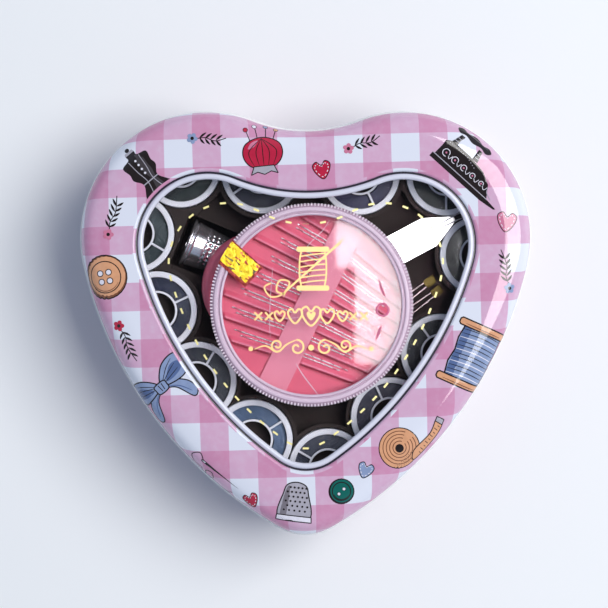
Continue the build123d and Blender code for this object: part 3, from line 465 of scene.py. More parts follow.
# %% Effects for many materials
def shader_group(name, inputs, outputs):
    """A new group with named sockets: its tree, and what it is given."""
    group = bpy.data.node_groups.new(name, "ShaderNodeTree")
    for way, sockets in (("INPUT", inputs), ("OUTPUT", outputs)):
        for key, kind in sockets.items():
            group.interface.new_socket(key, in_out=way, socket_type="NodeSocket" + kind)
    return group, node(group, "NodeGroupInput").outputs


GRAIN = {"Place": "Vector", "Scale": "Float", "Detail": "Float"}
CLOUD, given = shader_group("cloudy_colour", {**GRAIN, "First": "Color", "Second": "Color"},
                            {"Color": "Color"})
share = noise(CLOUD, given["Scale"], given["Detail"], given["Place"])
cloud = mixed(CLOUD, share, given["First"], given["Second"])
node(CLOUD, "NodeGroupOutput", {"Color": cloud})

SKIN, given = shader_group("worked_skin", {**GRAIN, "Least": "Float", "Most": "Float",
                                           "Bump": "Float", "Depth": "Float"},
                           {"Roughness": "Float", "Normal": "Vector"})
grain = noise(SKIN, given["Scale"], given["Detail"], given["Place"])
node(SKIN, "NodeGroupOutput", {"Roughness": between(SKIN, grain, given["Least"], given["Most"]),
                               "Normal": rough_skin(SKIN, grain, given["Bump"], given["Depth"])})
print("groups:", [group.name for group in bpy.data.node_groups])


# %% Groups in a material
def use(tree, group, place=None, **values):
    """A group in a material, on the piece's own coordinates or those given: its outputs."""
    place = place or node(tree, "ShaderNodeTexCoord").outputs["Object"]
    return node(tree, "ShaderNodeGroup", {"Place": place, **values}, node_tree=group).outputs


def cloudy(tree, scale, detail, first, second, place=None):
    """Two colours in a cloudy mix."""
    return use(tree, CLOUD, place, Scale=scale, Detail=detail, First=(*first, 1),
               Second=(*second, 1))["Color"]


# %% [markdown]
# ## Printed tin
# Gingham is two sets of stripes that cross: where one stripe lies it tints the white, where
# two cross they tint it twice. The print is a little uneven, like ink wiped thin, so a soft
# noise breathes through it. A clear lacquer lies over everything as a coat.

# %% Gingham ink
PRINT_SQUARE = 0.00955
PRINT_TURN = math.radians(1.6)    # the sheet was cut a little askew
PRINT_U, PRINT_V = 0.00154, 0.00575
PAPER, STRIPE = (0.74, 0.76, 0.855, 1), (0.885, 0.525, 0.655, 1)
WIPED = (0.5, 0.72)               # strength of the ink: share of noise, and least
CROSSING = -0.3                   # change of strength where a stripe crosses the other


def gingham_group():
    """Group: flat print coordinates in, ink colour out."""
    group, given = shader_group("gingham", {"Place": "Vector", "Square": "Float",
                                            "Paper": "Color", "Stripe": "Color"},
                                {"Color": "Color"})
    calc = partial(math_node, group)
    turned = node(group, "ShaderNodeMapping", {"Vector": given["Place"],
                                               "Location": (PRINT_U, PRINT_V, 0),
                                               "Rotation": (0, 0, PRINT_TURN)},
                  vector_type="TEXTURE").outputs[0]
    split = node(group, "ShaderNodeSeparateXYZ", {0: turned}).outputs
    colour, crossed = given["Paper"], 1.0
    for axis, grain in (("X", 420), ("Y", 300)):
        half = calc("MULTIPLY", calc("DIVIDE", split[axis], given["Square"]), 0.5)
        on = calc("LESS_THAN", calc("FRACT", half), 0.5)
        wiped = calc("MULTIPLY_ADD", noise(group, grain, 3, given["Place"]), *WIPED)
        strength = calc("MULTIPLY", calc("MULTIPLY", on, wiped), crossed)
        crossed = calc("MULTIPLY_ADD", on, CROSSING, 1.0)
        colour = mixed(group, strength, colour, given["Stripe"], blend_type="MULTIPLY")
    node(group, "NodeGroupOutput", {"Color": colour})
    return group


GINGHAM = gingham_group()
print("gingham squares are", round(PRINT_SQUARE / MM, 2), "mm wide")


# %% Tin finishes
def printed(name):
    """Lacquered gingham on the sheet's own flat coordinates."""
    made, tree, shader = material(name)
    flat = node(tree, "ShaderNodeUVMap", uv_map="Print").outputs["UV"]
    ink = use(tree, GINGHAM, flat, Square=PRINT_SQUARE, Paper=PAPER, Stripe=STRIPE)["Color"]
    finish(shader, Base_Color=ink, Roughness=0.4, Specular_IOR_Level=0.0, Coat_Weight=1.0,
           Coat_Roughness=0.05, Coat_IOR=1.58)
    return made


def lacquer(name, colour, roughness=0.25, metallic=0.0):
    """Plain lacquered tin with a faint rolling grain."""
    made, tree, shader = material(name)
    finish(shader, Base_Color=(*colour, 1), Roughness=roughness, Metallic=metallic,
           Coat_Weight=0.8, Coat_Roughness=0.08,
           Normal=use(tree, SKIN, Scale=900, Detail=2, Bump=0.04, Depth=0.0002)["Normal"])
    return made


gingham_print = printed("gingham_print")
pale_bead = lacquer("pale_bead", (0.70, 0.70, 0.80))
rolled_edge = lacquer("rolled_edge", (0.62, 0.65, 0.78), 0.3, 0.9)
# near black: a printed keyline that also paints the shade in the groove
keyline_and_groove_shade = lacquer("keyline_and_groove_shade", (0.02, 0.015, 0.03))
inside_lacquer = lacquer("inside_lacquer", (0.88, 0.87, 0.86), 0.35)
TIN_FINISHES = [gingham_print, pale_bead, keyline_and_groove_shade, inside_lacquer, rolled_edge]
TIN_SLOTS = {"print": 0, "bead": 1, "groove_shade_keyline": 2, "inside": 3, "foot": 4}
print("tin finishes:", [made.name for made in TIN_FINISHES])

# %% Lid
BEAD_SPACING, HEM_SPACING = 0.0012, 0.0010    # stations along the two outlines
bm = bmesh.new()
bm.loops.layers.uv.new("Print")
_, (skirt_far, skirt_near) = carry(bm, BEAD_LINE, skirt_section(), BEAD_SPACING, TIN_SLOTS,
                                   PANEL_U - PANEL_RIM, (False, True))
(hem_far, hem_near), _ = carry(bm, WINDOW_LINE, hem_section(), HEM_SPACING, TIN_SLOTS, 0,
                               (True, False))
fill_between(bm, skirt_far, hem_far, TIN_SLOTS["print"], False)
fill_between(bm, skirt_near, hem_near, TIN_SLOTS["inside"], True)
lid = new_piece(bm, "lid_printed", TIN_FINISHES)
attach(lid, "lid")
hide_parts("lid_shell")

# %% [markdown]
# ## Small tools: turned shapes and grown shapes
# Most things in a sewing tin are turned: a profile swung round an axis. Others repeat, and
# Geometry Nodes do that well: a tree with named inputs puts copies along a path. The helper
# runs a tree on a guide mesh and keeps the plain result, so the piece holds no modifier.


# %% Lathe
def circle(centre, radius, steps):
    """Points evenly round a circle."""
    spin = [2 * math.pi * k / steps for k in range(steps)]
    return [(centre[0] + radius * math.cos(t), centre[1] + radius * math.sin(t)) for t in spin]


def lathe(bm, profile, slots, centre=(0, 0), steps=96):
    """Swing a closed profile of (radius, height) round an axis; one slot for each stretch."""
    rings = [[bm.verts.new((x, y, z)) for x, y in circle(centre, r, steps)] for r, z in profile]
    for k, slot in enumerate(slots):
        low, high = rings[k], rings[(k + 1) % len(rings)]
        for j in range(steps):
            i = (j + 1) % steps
            face = bm.faces.new((low[j], low[i], high[i], high[j]))
            face.material_index, face.smooth = slot, True
    return rings


# %% Geometry Nodes helpers
def geometry_tree(name, **inputs):
    """A tree with a Geometry input, named inputs, and its Geometry output."""
    tree = bpy.data.node_groups.new(name, "GeometryNodeTree")
    for key, kind in {"Geometry": "Geometry", **inputs}.items():
        tree.interface.new_socket(key, in_out="INPUT", socket_type="NodeSocket" + kind)
    tree.interface.new_socket("Geometry", in_out="OUTPUT", socket_type="NodeSocketGeometry")
    return tree, node(tree, "NodeGroupInput").outputs


def end_tree(tree, shape, finish_socket):
    """Realize Instances, Set Material, out."""
    real = node(tree, "GeometryNodeRealizeInstances", {0: shape}).outputs[0]
    paint = node(tree, "GeometryNodeSetMaterial", {"Geometry": real, "Material": finish_socket})
    node(tree, "NodeGroupOutput", {"Geometry": paint.outputs[0]})


def path_tree(name, mode, axis, **inputs):
    """Tree: boxes along a guide line, an axis of each turned along it. The first input
    spaces them, by COUNT or by LENGTH, and the second is the size of a box."""
    tree, given = geometry_tree(name, **inputs, Finish="Material")
    add = partial(node, tree)
    spacing, size = inputs
    path = add("GeometryNodeMeshToCurve", {0: given["Geometry"]}).outputs[0]
    even = add("GeometryNodeResampleCurve", {"Curve": path, mode.title(): given[spacing]},
               mode=mode)
    box = add("GeometryNodeMeshCube", {"Size": given[size]})
    along = add("GeometryNodeInputTangent").outputs[0]
    turned = add("FunctionNodeAlignEulerToVector", {"Vector": along}, axis=axis)
    copies = add("GeometryNodeInstanceOnPoints", {"Points": even.outputs[0],
                                                  "Instance": box.outputs[0],
                                                  "Rotation": turned.outputs[0]})
    end_tree(tree, copies.outputs[0], given["Finish"])
    return tree


def grow(name, tree, guide, **values):
    """Run a tree on a guide mesh and keep the plain result."""
    piece = place_mesh(name, guide)
    modifier = piece.modifiers.new("grow", "NODES")
    modifier.node_group = tree
    for item in tree.interface.items_tree:
        if item.in_out == "INPUT" and item.name in values:
            modifier[item.identifier] = values[item.name]
    depsgraph = bpy.context.evaluated_depsgraph_get()
    plain = bpy.data.meshes.new_from_object(piece.evaluated_get(depsgraph), depsgraph=depsgraph)
    piece.modifiers.clear()
    piece.data = plain
    return counted(piece)


def closed_line(name, points):
    """Guide mesh: points joined in a ring."""
    mesh = bpy.data.meshes.new(name)
    count = len(points)
    mesh.from_pydata([tuple(p) for p in points], [(k, (k + 1) % count) for k in range(count)], [])
    return mesh


# %% [markdown]
# ## Clear and black plastics
# Clear parts are real thin solids that bend light. For a shadow ray they are made fully
# transparent, so lamps reach what lies below without noise. Moulded plastic is never quite
# even: a slow noise moves its roughness, and a fine one gives it the faint orange skin.

# %% Plastics
CLEAR_INDEX = 1.46                # how strongly the clear plastic bends light
MOULD_DEPTH = 0.0003              # reach of the bump of moulded and printed skins


def uneven(tree, shader, scale, low, high, bump=0.0):
    """Noise moves the roughness between two values, and may roughen the skin."""
    skin = use(tree, SKIN, Scale=scale, Detail=4, Least=low, Most=high, Bump=bump,
               Depth=MOULD_DEPTH)
    finish(shader, Roughness=skin["Roughness"])
    if bump:
        finish(shader, Normal=skin["Normal"])


def clear(name, tint, low=0.02, high=0.08, bump=0.0):
    """Clear plastic that lets light straight through to what lies under it."""
    made, tree, shader = material(name)
    finish(shader, Base_Color=(*tint, 1), IOR=CLEAR_INDEX, Transmission_Weight=1.0)
    uneven(tree, shader, 160, low, high, bump)
    rays = node(tree, "ShaderNodeLightPath").outputs
    through = node(tree, "ShaderNodeBsdfTransparent", {"Color": (*tint, 1)}).outputs[0]
    straight = math_node(tree, "MAXIMUM", rays["Is Shadow Ray"], rays["Is Diffuse Ray"])
    mix = node(tree, "ShaderNodeMixShader", {0: straight, 1: shader.outputs[0], 2: through})
    plug(tree.nodes["Material Output"].inputs["Surface"], mix.outputs[0])
    return made


def plastic(name, colour, low, high, scale=200, bump=0.05, coat=0.0):
    """Opaque moulded plastic."""
    made, tree, shader = material(name)
    finish(shader, Base_Color=(*colour, 1), Coat_Weight=coat, Coat_Roughness=0.05)
    uneven(tree, shader, scale, low, high, bump)
    return made


clear_spool = clear("clear_spool", (0.90, 0.92, 0.97))
clear_cover = clear("clear_cover", (0.99, 0.97, 0.98), bump=0.05)
clear_sheet = clear("clear_sheet", (0.97, 0.97, 0.98), 0.0, 0.02)
frosted_rim = plastic("frosted_rim", (0.88, 0.89, 0.97), 0.35, 0.6, 700, 0.25)
black_tray = plastic("black_tray", (0.052, 0.042, 0.040), 0.05, 0.11, 240, 0.06)
# its reflections are tinted pink: a painted reflection of the pink compact
finish(black_tray.node_tree.nodes["Principled BSDF"], Specular_Tint=(1, 0.6, 0.66, 1),
       Specular_IOR_Level=0.3)
dress(black_tray, "tray")
dress(clear_sheet, "lid_window")
print("plastics ready")

# %% [markdown]
# ## Spools and thread
# A kit spool is two clear flanges on a hub. The mould leaves the thick edge of each flange
# frosted, so from above one sees a pale ring round dark thread. Every spool turns by itself,
# so each is a piece of its own, turned from one profile at the place the frame gives.
# The thread is one long strand: it runs out over the top of the winding, down its side and
# back in below. A tree makes that path with one formula and lays a thin round strand on it.

# %% A spool's profile and rib
SPOOLS = [f"spool_{k:02d}" for k in range(1, 13)]
FLANGE_T, RIM_WIDTH, RIM_PROUD = 0.0009, 0.0020, 0.0004
HUB_BORE, HUB_OUT = 0.0062, 0.0069
RIM_ROUND = 0.0002
RIB_WAYS = (215, 100, -30, 25, 60, 32, 150, 115, 125, 20, -90, -65)
RIB_HALF, RIB_FLARE = 0.00025, 1.6
RIB_SUNK, RIB_PROUD = 0.00005, 0.00025
NUB_R, NUB_SUNK = 0.0005, 0.0004  # trace of the mould's gate on the edge
NUB_TURN, NUB_DROP = 140, 0.6     # its way from the rib, and its place in the flange
CLEAR, FROSTED = 0, 1


def spool_profile(edge, low, high):
    """Closed profile, anticlockwise, with a slot for each stretch."""
    inner, soft = edge - RIM_WIDTH, RIM_ROUND
    web_low, web_high = low + RIM_PROUD, high - RIM_PROUD
    in_low, in_high = web_low + FLANGE_T, web_high - FLANGE_T
    corners = [(HUB_BORE, low, CLEAR), (HUB_OUT, low, CLEAR), (HUB_OUT, web_low, CLEAR),
               (inner, web_low, FROSTED), (inner, low + soft, FROSTED),
               (inner + soft, low, FROSTED), (edge - soft, low, FROSTED),
               (edge, low + soft, FROSTED), (edge, in_low - soft, FROSTED),
               (edge - soft, in_low, FROSTED), (inner, in_low, CLEAR), (HUB_OUT, in_low, CLEAR),
               (HUB_OUT, in_high, CLEAR), (inner, in_high, FROSTED),
               (edge - soft, in_high, FROSTED), (edge, in_high + soft, FROSTED),
               (edge, high - soft, FROSTED), (edge - soft, high, FROSTED),
               (inner + soft, high, FROSTED), (inner, high - soft, FROSTED),
               (inner, web_high, CLEAR), (HUB_OUT, web_high, FROSTED), (HUB_OUT, high, FROSTED),
               (HUB_BORE, high, CLEAR)]
    return [c[:2] for c in corners], [c[2] for c in corners]


def rib(bm, centre, turn, inner, outer, low, high):
    """The moulded rib: a bar with sloping sides."""
    place = Matrix.Translation((*centre, 0)) @ Matrix.Rotation(math.radians(turn), 4, "Z")
    corners = [(r, side * half, z) for z, half in ((low, RIB_HALF * RIB_FLARE), (high, RIB_HALF))
               for r, side in ((inner, -1), (outer, -1), (outer, 1), (inner, 1))]
    verts = [bm.verts.new(place @ Vector(c)) for c in corners]
    for ring in ((4, 5, 6, 7), (0, 1, 5, 4), (1, 2, 6, 5), (2, 3, 7, 6), (3, 0, 4, 7),
                 (3, 2, 1, 0)):
        face = bm.faces.new([verts[k] for k in ring])
        face.material_index = FROSTED


# %% Twelve spools
for name, way in zip(SPOOLS, RIB_WAYS):
    low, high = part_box(name)
    middle, edge = (low + high) / 2, (high.x - low.x) / 2
    bm = bmesh.new()
    lathe(bm, *spool_profile(edge, low.z, high.z), middle.xy)
    rib(bm, middle.xy, way, HUB_OUT, edge - RIM_WIDTH, high.z - RIM_PROUD - RIB_SUNK,
        high.z - RIM_PROUD + RIB_PROUD)
    gate = math.radians(way + NUB_TURN)
    way_out = Vector((math.cos(gate), math.sin(gate))) * (edge - NUB_SUNK)
    nub = Matrix.Translation((*(middle.xy + way_out), high.z - FLANGE_T * NUB_DROP))
    bmesh.ops.create_icosphere(bm, subdivisions=2, radius=NUB_R, matrix=nub)
    piece = new_piece(bm, name + "_moulded", [clear_spool, frosted_rim])
    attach(piece, name + "_wound")
    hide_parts(name)

# %% Winding tree
WINDING_STEPS = 44                # points in one turn
STRAND_SIDES = 5
WINDING, given = geometry_tree("thread_winding", Centre="Vector", Inner="Float", Outer="Float",
                               Low="Float", High="Float", Pitch="Float", Strand="Float",
                               Finish="Material")
add, calc = partial(node, WINDING), partial(math_node, WINDING)
width = calc("SUBTRACT", given["Outer"], given["Inner"])
tall = calc("SUBTRACT", given["High"], given["Low"])
whole = calc("ADD", calc("MULTIPLY", width, 2), tall)
turns = calc("DIVIDE", whole, given["Pitch"])
turn = calc("DIVIDE", add("GeometryNodeInputIndex").outputs[0], WINDING_STEPS)
run = calc("MULTIPLY", turn, given["Pitch"])
angle = calc("MULTIPLY", turn, 2 * math.pi)
past_top = calc("SUBTRACT", run, width)
past_side = calc("MAXIMUM", calc("SUBTRACT", past_top, tall), 0)
radius = calc("SUBTRACT", calc("MINIMUM", run, width), past_side)
radius = calc("ADD", radius, given["Inner"])
drop = calc("MINIMUM", calc("MAXIMUM", past_top, 0), tall)
spot = add("ShaderNodeCombineXYZ", {"X": calc("MULTIPLY", radius, calc("COSINE", angle)),
                                    "Y": calc("MULTIPLY", radius, calc("SINE", angle)),
                                    "Z": calc("SUBTRACT", given["High"], drop)}).outputs[0]
moved = add("ShaderNodeVectorMath", {0: spot, 1: given["Centre"]}, operation="ADD").outputs[0]
line = add("GeometryNodeMeshLine", {"Count": calc("MULTIPLY", turns, WINDING_STEPS)}).outputs[0]
line = add("GeometryNodeSetPosition", {"Geometry": line, "Position": moved}).outputs[0]
path = add("GeometryNodeMeshToCurve", {0: line}).outputs[0]
strand = add("GeometryNodeCurvePrimitiveCircle", {"Resolution": STRAND_SIDES,
                                                  "Radius": given["Strand"]}).outputs[0]
tube = add("GeometryNodeCurveToMesh", {"Curve": path, "Profile Curve": strand}).outputs[0]
end_tree(WINDING, tube, given["Finish"])
print("winding tree has", len(WINDING.nodes), "nodes")

# %% Thread
PITCH, STRAND_R = 0.00042, 0.00024
THREAD_DRIFT = (0.6, 1.5)         # darkest and lightest share of a thread's shade
THREAD_COLOURS = {"slate": (0.045, 0.045, 0.062), "black_green": (0.016, 0.026, 0.021),
                  "dark_green": (0.018, 0.036, 0.034), "navy": (0.012, 0.016, 0.040),
                  "charcoal": (0.040, 0.042, 0.050), "steel_blue": (0.13, 0.20, 0.30),
                  "blue_grey": (0.075, 0.080, 0.105), "violet_grey": (0.080, 0.070, 0.100),
                  "black": (0.008, 0.008, 0.010), "olive_brown": (0.070, 0.064, 0.048),
                  "navy_violet": (0.035, 0.028, 0.075)}


def thread_finish(slot, colour):
    """Polyester thread: a soft sheen, and a shade that drifts along the strand."""
    made, tree, shader = material(slot)
    dark, light = ([c * share for c in colour] for share in THREAD_DRIFT)
    finish(shader, Base_Color=cloudy(tree, 260, 2, dark, light), Roughness=0.42,
           Sheen_Weight=0.3, Sheen_Roughness=0.4, Specular_IOR_Level=0.6)
    return made


thread_finishes = {}
for name in SPOOLS:
    winding = name.replace("spool", "thread")
    slot = nodes[winding].data.materials[0].name
    if slot not in thread_finishes:
        shade = THREAD_COLOURS[slot.removeprefix("thread_")]
        thread_finishes[slot] = thread_finish("wound_" + slot, shade)
    low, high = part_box(winding)
    middle = (low + high) / 2
    piece = grow(winding + "_wound", WINDING, bpy.data.meshes.new(winding),
                 Centre=(middle.x, middle.y, 0), Inner=HUB_OUT + STRAND_R,
                 Outer=(high.x - low.x) / 2 - STRAND_R, Low=low.z + STRAND_R,
                 High=high.z - STRAND_R, Pitch=PITCH, Strand=STRAND_R,
                 Finish=thread_finishes[slot])
    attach(piece, name + "_wound")
    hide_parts(winding)

# %% [markdown]
# ## Needle compact
# A flat round box: a clear cover turns on a dish, and its one hole lets out one needle at a
# time. The cover is moulded with a slight dome, which is why its right half throws back the
# lamp, and its grip band is frosted and milled. The dome has a hole off its middle, so it is
# filled by triangulation between two rings; the milling is one tick repeated by a tree.

# %% Sizes of the compact's cover
cover_low, cover_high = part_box("compact_cover")
COMPACT = (cover_low + cover_high) / 2
COVER_R = (cover_high.x - cover_low.x) / 2
GRIP_WIDTH, GRIP_PROUD, COVER_WALL, COVER_T = 0.0040, 0.0004, 0.0008, 0.0008
COVER_STEPS, COVER_GRAIN = 160, 0.0015
DOME_RISE = 0.0013
OUTLET_OUT, OUTLET_WAY = 0.0240, math.radians(-4)
OUTLET = Vector((COMPACT.x + OUTLET_OUT * math.cos(OUTLET_WAY),
                 COMPACT.y + OUTLET_OUT * math.sin(OUTLET_WAY)))
OUTLET_R, OUTLET_RING, OUTLET_PROUD, OUTLET_STEPS = 0.0017, 0.0007, 0.0003, 32
PINK, SHADED = 2, 3               # slots of the cover beside CLEAR and FROSTED
web = cover_high.z - GRIP_PROUD
PLATE_R = COVER_R - GRIP_WIDTH


def dome(x, y):
    """Rise of the cover's middle over its edge."""
    share = math.hypot(x - COMPACT.x, y - COMPACT.y) / PLATE_R
    return DOME_RISE * (1 - min(1, share) ** 2)


LINE_GAP = 0.866                  # lines of a triangular grid, for points 1 apart


def scatter(radius, gap):
    """Points on a triangular grid within a circle round the compact's axis."""
    lines = int(radius / gap / LINE_GAP) + 1
    for j in range(-lines, lines + 1):
        for i in range(-lines, lines + 1):
            x, y = (i + 0.5 * (j % 2)) * gap, j * gap * LINE_GAP
            if math.hypot(x, y) < radius - gap * 0.6:
                yield COMPACT.x + x, COMPACT.y + y


print("cover is", round(2 * COVER_R / MM, 1), "mm across")

# %% Domed cover
COLLAR_STEPS, COLLAR_SOFT, COLLAR_CREST = 48, 0.0001, 0.0005
bm = bmesh.new()
top = cover_high.z
GRIP = ((0.0, web, FROSTED), (0.0002, top - 0.0001, FROSTED), (0.0005, top, FROSTED),
        (0.0008, top - 0.00005, SHADED), (0.0010, top - 0.0005, SHADED),
        (0.0013, top - 0.0005, FROSTED), (0.0016, top - 0.0001, FROSTED),
        (0.0024, top, FROSTED), (0.0028, top - 0.0001, SHADED), (0.0032, top - 0.0004, SHADED),
        (0.0038, top - 0.0008, SHADED), (0.0040, top - 0.0012, CLEAR))
grip = [(PLATE_R + out, z) for out, z, _ in GRIP] + [
    (COVER_R, cover_low.z), (COVER_R - COVER_WALL, cover_low.z),
    (COVER_R - COVER_WALL, web - COVER_T), (PLATE_R, web - COVER_T)]
rings = lathe(bm, grip, [slot for _, _, slot in GRIP] + [CLEAR] * 3, COMPACT.xy, COVER_STEPS)
for shell, height, down in ((rings[0], web, False), (rings[-1], web - COVER_T, True)):
    hole = [bm.verts.new((x, y, height + dome(x, y)))
            for x, y in circle(OUTLET, OUTLET_R, OUTLET_STEPS)]
    grid = [bm.verts.new((x, y, height + dome(x, y)))
            for x, y in scatter(PLATE_R, COVER_GRAIN)
            if math.hypot(x - OUTLET.x, y - OUTLET.y) > OUTLET_R + 0.4 * COVER_GRAIN]
    fill_between(bm, shell, hole, CLEAR, down, grid)
collar_low = web + dome(OUTLET.x, OUTLET.y) - COVER_T
collar_high = top + OUTLET_PROUD
collar_soft = collar_high - COLLAR_SOFT
lathe(bm, [(OUTLET_R, collar_low), (OUTLET_R + OUTLET_RING, collar_low),
           (OUTLET_R + OUTLET_RING, collar_soft), (OUTLET_R + COLLAR_CREST, collar_high),
           (OUTLET_R, collar_soft)], [PINK] * 5, OUTLET, COLLAR_STEPS)
bmesh.ops.recalc_face_normals(bm, faces=bm.faces)
frosted_cover = plastic("frosted_cover", (0.70, 0.53, 0.64), 0.25, 0.5, 500, 0.25)
grip_shade = plastic("grip_shade", (0.50, 0.34, 0.44), 0.2, 0.4, 500, 0.25)
outlet_pink = plastic("outlet_pink", (0.62, 0.11, 0.24), 0.2, 0.35, 300, 0.05)
cover = new_piece(bm, "compact_cover_domed",
                  [clear_cover, frosted_cover, outlet_pink, grip_shade])
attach(cover, "needle_cover")
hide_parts("compact_cover")

# %% Milled edge
MILLED_EDGE = path_tree("milled_edge", "COUNT", "Y", Count="Int", Tick="Vector")
milled_pink = plastic("milled_pink", (0.78, 0.66, 0.74), 0.3, 0.5, 500, 0.2)
TICKS = 188
TICK_DEEP, TICK_WIDE, TICK_SUNK, TICK_MARGIN = 0.0014, 0.00048, 0.0006, 0.0004
TICK_LOW, TICK_HIGH = cover_low.z + TICK_MARGIN, cover_high.z - TICK_MARGIN
edge_line = [(x, y, (TICK_LOW + TICK_HIGH) / 2)
             for x, y in circle(COMPACT, COVER_R - TICK_SUNK, TICKS)]
milling = grow("compact_milling", MILLED_EDGE, closed_line("edge", edge_line), Count=TICKS,
               Tick=(TICK_DEEP, TICK_WIDE, TICK_HIGH - TICK_LOW), Finish=milled_pink)
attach(milling, "needle_cover")

# %% [markdown]
# ## Card under the needles
# The card is pressed into pleats that hold the needles apart. The pleats fan out a little, so
# the card's surface is a height: for each pleat, how far a point lies from its line gives a
# steep side and a gentle side. Each point also keeps a painted shade for the material: a
# painted shadow in the fold under the steep side, and a painted highlight on the ridge.

# %% Pleats
card_low, card_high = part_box("needle_card")
CARD_R = (card_high.x - card_low.x) / 2
CARD_FACE = card_high.z - 0.0005
CARD_ROUND, CARD_GRAIN = 0.0002, 0.0004
PLEAT_RISE = 0.0010
BAND_WAY = math.radians(64)
BANK_FROM, BANK_TO = 0.024, -0.020
FANS = ((149, 163), (-40, -20))
PLEATS = 8
PLEAT_START, PLEAT_REACH = 0.0045, 0.0305     # both ends: from its row, from the axis
PLEAT_EASE, PLEAT_FADE = 0.0012, 0.0010       # how softly it starts and runs out
GENTLE, STEEP = 0.0019, 0.0006    # width of the two sides of a pleat
FOLD_SHADE = 0.0013               # painted shade darkens the crease under the steep side this far
PLEAT_BULGE = 0.8                 # under 1, so the sides of a pleat are a little full
HIGHLIGHT_FROM = 0.6                  # a painted highlight makes the ridge pale above this share of its height


def rows(fan, count):
    """Where each row starts on the middle line, and its direction."""
    for k in range(count):
        share = k / (count - 1)
        out = BANK_FROM + (BANK_TO - BANK_FROM) * share
        start = Vector((out * math.cos(BAND_WAY), out * math.sin(BAND_WAY)))
        angle = math.radians(fan[0] + (fan[1] - fan[0]) * share)
        yield start, Vector((math.cos(angle), math.sin(angle)))


def smooth_step(x):
    """0 to 1 with soft ends."""
    x = np.clip(x, 0, 1)
    return x * x * (3 - 2 * x)


def pleated(spots):
    """Height of the card's face over its flat level, and painted shade: 1 in a crease, -1 a
    painted highlight on a ridge.
    """
    rise, crease, ridge_highlight = (np.zeros(len(spots)) for _ in range(3))
    for fan in FANS:
        for start, way in rows(fan, PLEATS):
            along = (spots[:, 0] - start.x) * way.x + (spots[:, 1] - start.y) * way.y
            side = (spots[:, 1] - start.y) * way.x - (spots[:, 0] - start.x) * way.y
            side = side if way.x < 0 else -side
            shape = np.where(side > 0, 1 - side / STEEP, 1 + side / GENTLE)
            fade = smooth_step((along - PLEAT_START) / PLEAT_EASE)
            fade = fade * smooth_step((PLEAT_REACH - np.hypot(*spots.T)) / PLEAT_FADE)
            rise = np.maximum(rise, np.clip(shape, 0, 1) ** PLEAT_BULGE * fade)
            # painted shade in the crease under the steep side, and a painted highlight on the
            # ridge
            under = np.clip(1 - np.abs(side - STEEP) / FOLD_SHADE, 0, 1) * fade
            crease = np.maximum(crease, np.where(side > 0, under, 0))
            ridge = np.clip((shape - HIGHLIGHT_FROM) / (1 - HIGHLIGHT_FROM), 0, 1)
            ridge_highlight = np.maximum(ridge_highlight, ridge * fade)
    return rise * PLEAT_RISE, crease - ridge_highlight


print("pleats:", PLEATS, "in each of", len(FANS), "banks")

# %% Pleated card
bm = bmesh.new()
# each point keeps its painted shade; below zero it is a painted highlight
shade = bm.verts.layers.float.new("ShadeAndHighlight")
inner = CARD_R - CARD_ROUND
rings = lathe(bm, [(inner, card_low.z), (CARD_R, card_low.z + CARD_ROUND),
                   (CARD_R, CARD_FACE - CARD_ROUND), (inner, CARD_FACE)], [0, 0, 0],
              COMPACT.xy, COVER_STEPS)
flat = np.array(list(scatter(inner, CARD_GRAIN)))
rises, shades_and_highlights = pleated(flat - np.array(COMPACT.xy))
grid = []
for (x, y), rise, crease in zip(flat, rises, shades_and_highlights):
    grid.append(bm.verts.new((x, y, CARD_FACE + rise)))
    grid[-1][shade] = crease
fill_between(bm, rings[-1], [], 0, False, grid)
fill_between(bm, rings[0], [], 0, True)
print("card's face has", len(grid), "points")

# %% Card finishes
RIDGE_HIGHLIGHT_SHARE = 0.8                 # how far the painted highlight covers a ridge


def card_finish(name, colour, shade, fold=None, ridge=None):
    """Coloured card: fine fibres, cloudy shade, painted shade in a fold and a painted highlight on
    a ridge.
    """
    made, tree, shader = material(name)
    ink = cloudy(tree, 130, 6, shade, colour)
    if fold:
        # the attribute paints shade into a fold and, below zero, a highlight onto a ridge
        crease = node(tree, "ShaderNodeAttribute", attribute_name="ShadeAndHighlight").outputs["Fac"]
        ink = mixed(tree, crease, ink, fold)
        ink = mixed(tree, math_node(tree, "MULTIPLY", crease, -RIDGE_HIGHLIGHT_SHARE), ink, ridge)
    finish(shader, Base_Color=ink, Roughness=0.48, Sheen_Weight=0.25, Sheen_Roughness=0.5,
           Normal=use(tree, SKIN, Scale=2200, Detail=2, Bump=0.25, Depth=0.0001)["Normal"])
    return made


# the last two colours: painted shade for a fold, painted highlight for a ridge
pink_card = card_finish("pink_card", (0.95, 0.15, 0.26), (0.76, 0.090, 0.17),
                        (0.36, 0.016, 0.045), (0.95, 0.40, 0.52))
band_card = card_finish("band_card", (0.95, 0.32, 0.43), (0.84, 0.23, 0.33))
card = new_piece(bm, "needle_card_pleated", [pink_card])
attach(card, "tin_base")
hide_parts("needle_card")
dress(band_card, "needle_band")
dress(clear_cover, "compact_base")

# %% [markdown]
# ## Metals and the tape measure
# Pins, needles and plates were drawn or rolled, which leaves fine scratches one way. A noise
# stretched along one axis gives them, in the roughness and as a bump, so a highlight breaks
# up as on real wire. The tape measure is a shiny moulded case round a woven tape.


# %% Metals
def metal(name, colour, low, high, scale=(900, 900, 60), bump=0.08):
    """Polished metal with drawn scratches: noise stretched one way."""
    made, tree, shader = material(name)
    place = node(tree, "ShaderNodeTexCoord").outputs["Object"]
    drawn = node(tree, "ShaderNodeMapping", {"Vector": place, "Scale": scale}).outputs[0]
    skin = use(tree, SKIN, drawn, Scale=1, Detail=3, Least=low, Most=high, Bump=bump,
               Depth=0.0001)
    finish(shader, Base_Color=(*colour, 1), Metallic=1.0, Roughness=skin["Roughness"],
           Normal=skin["Normal"])
    return made


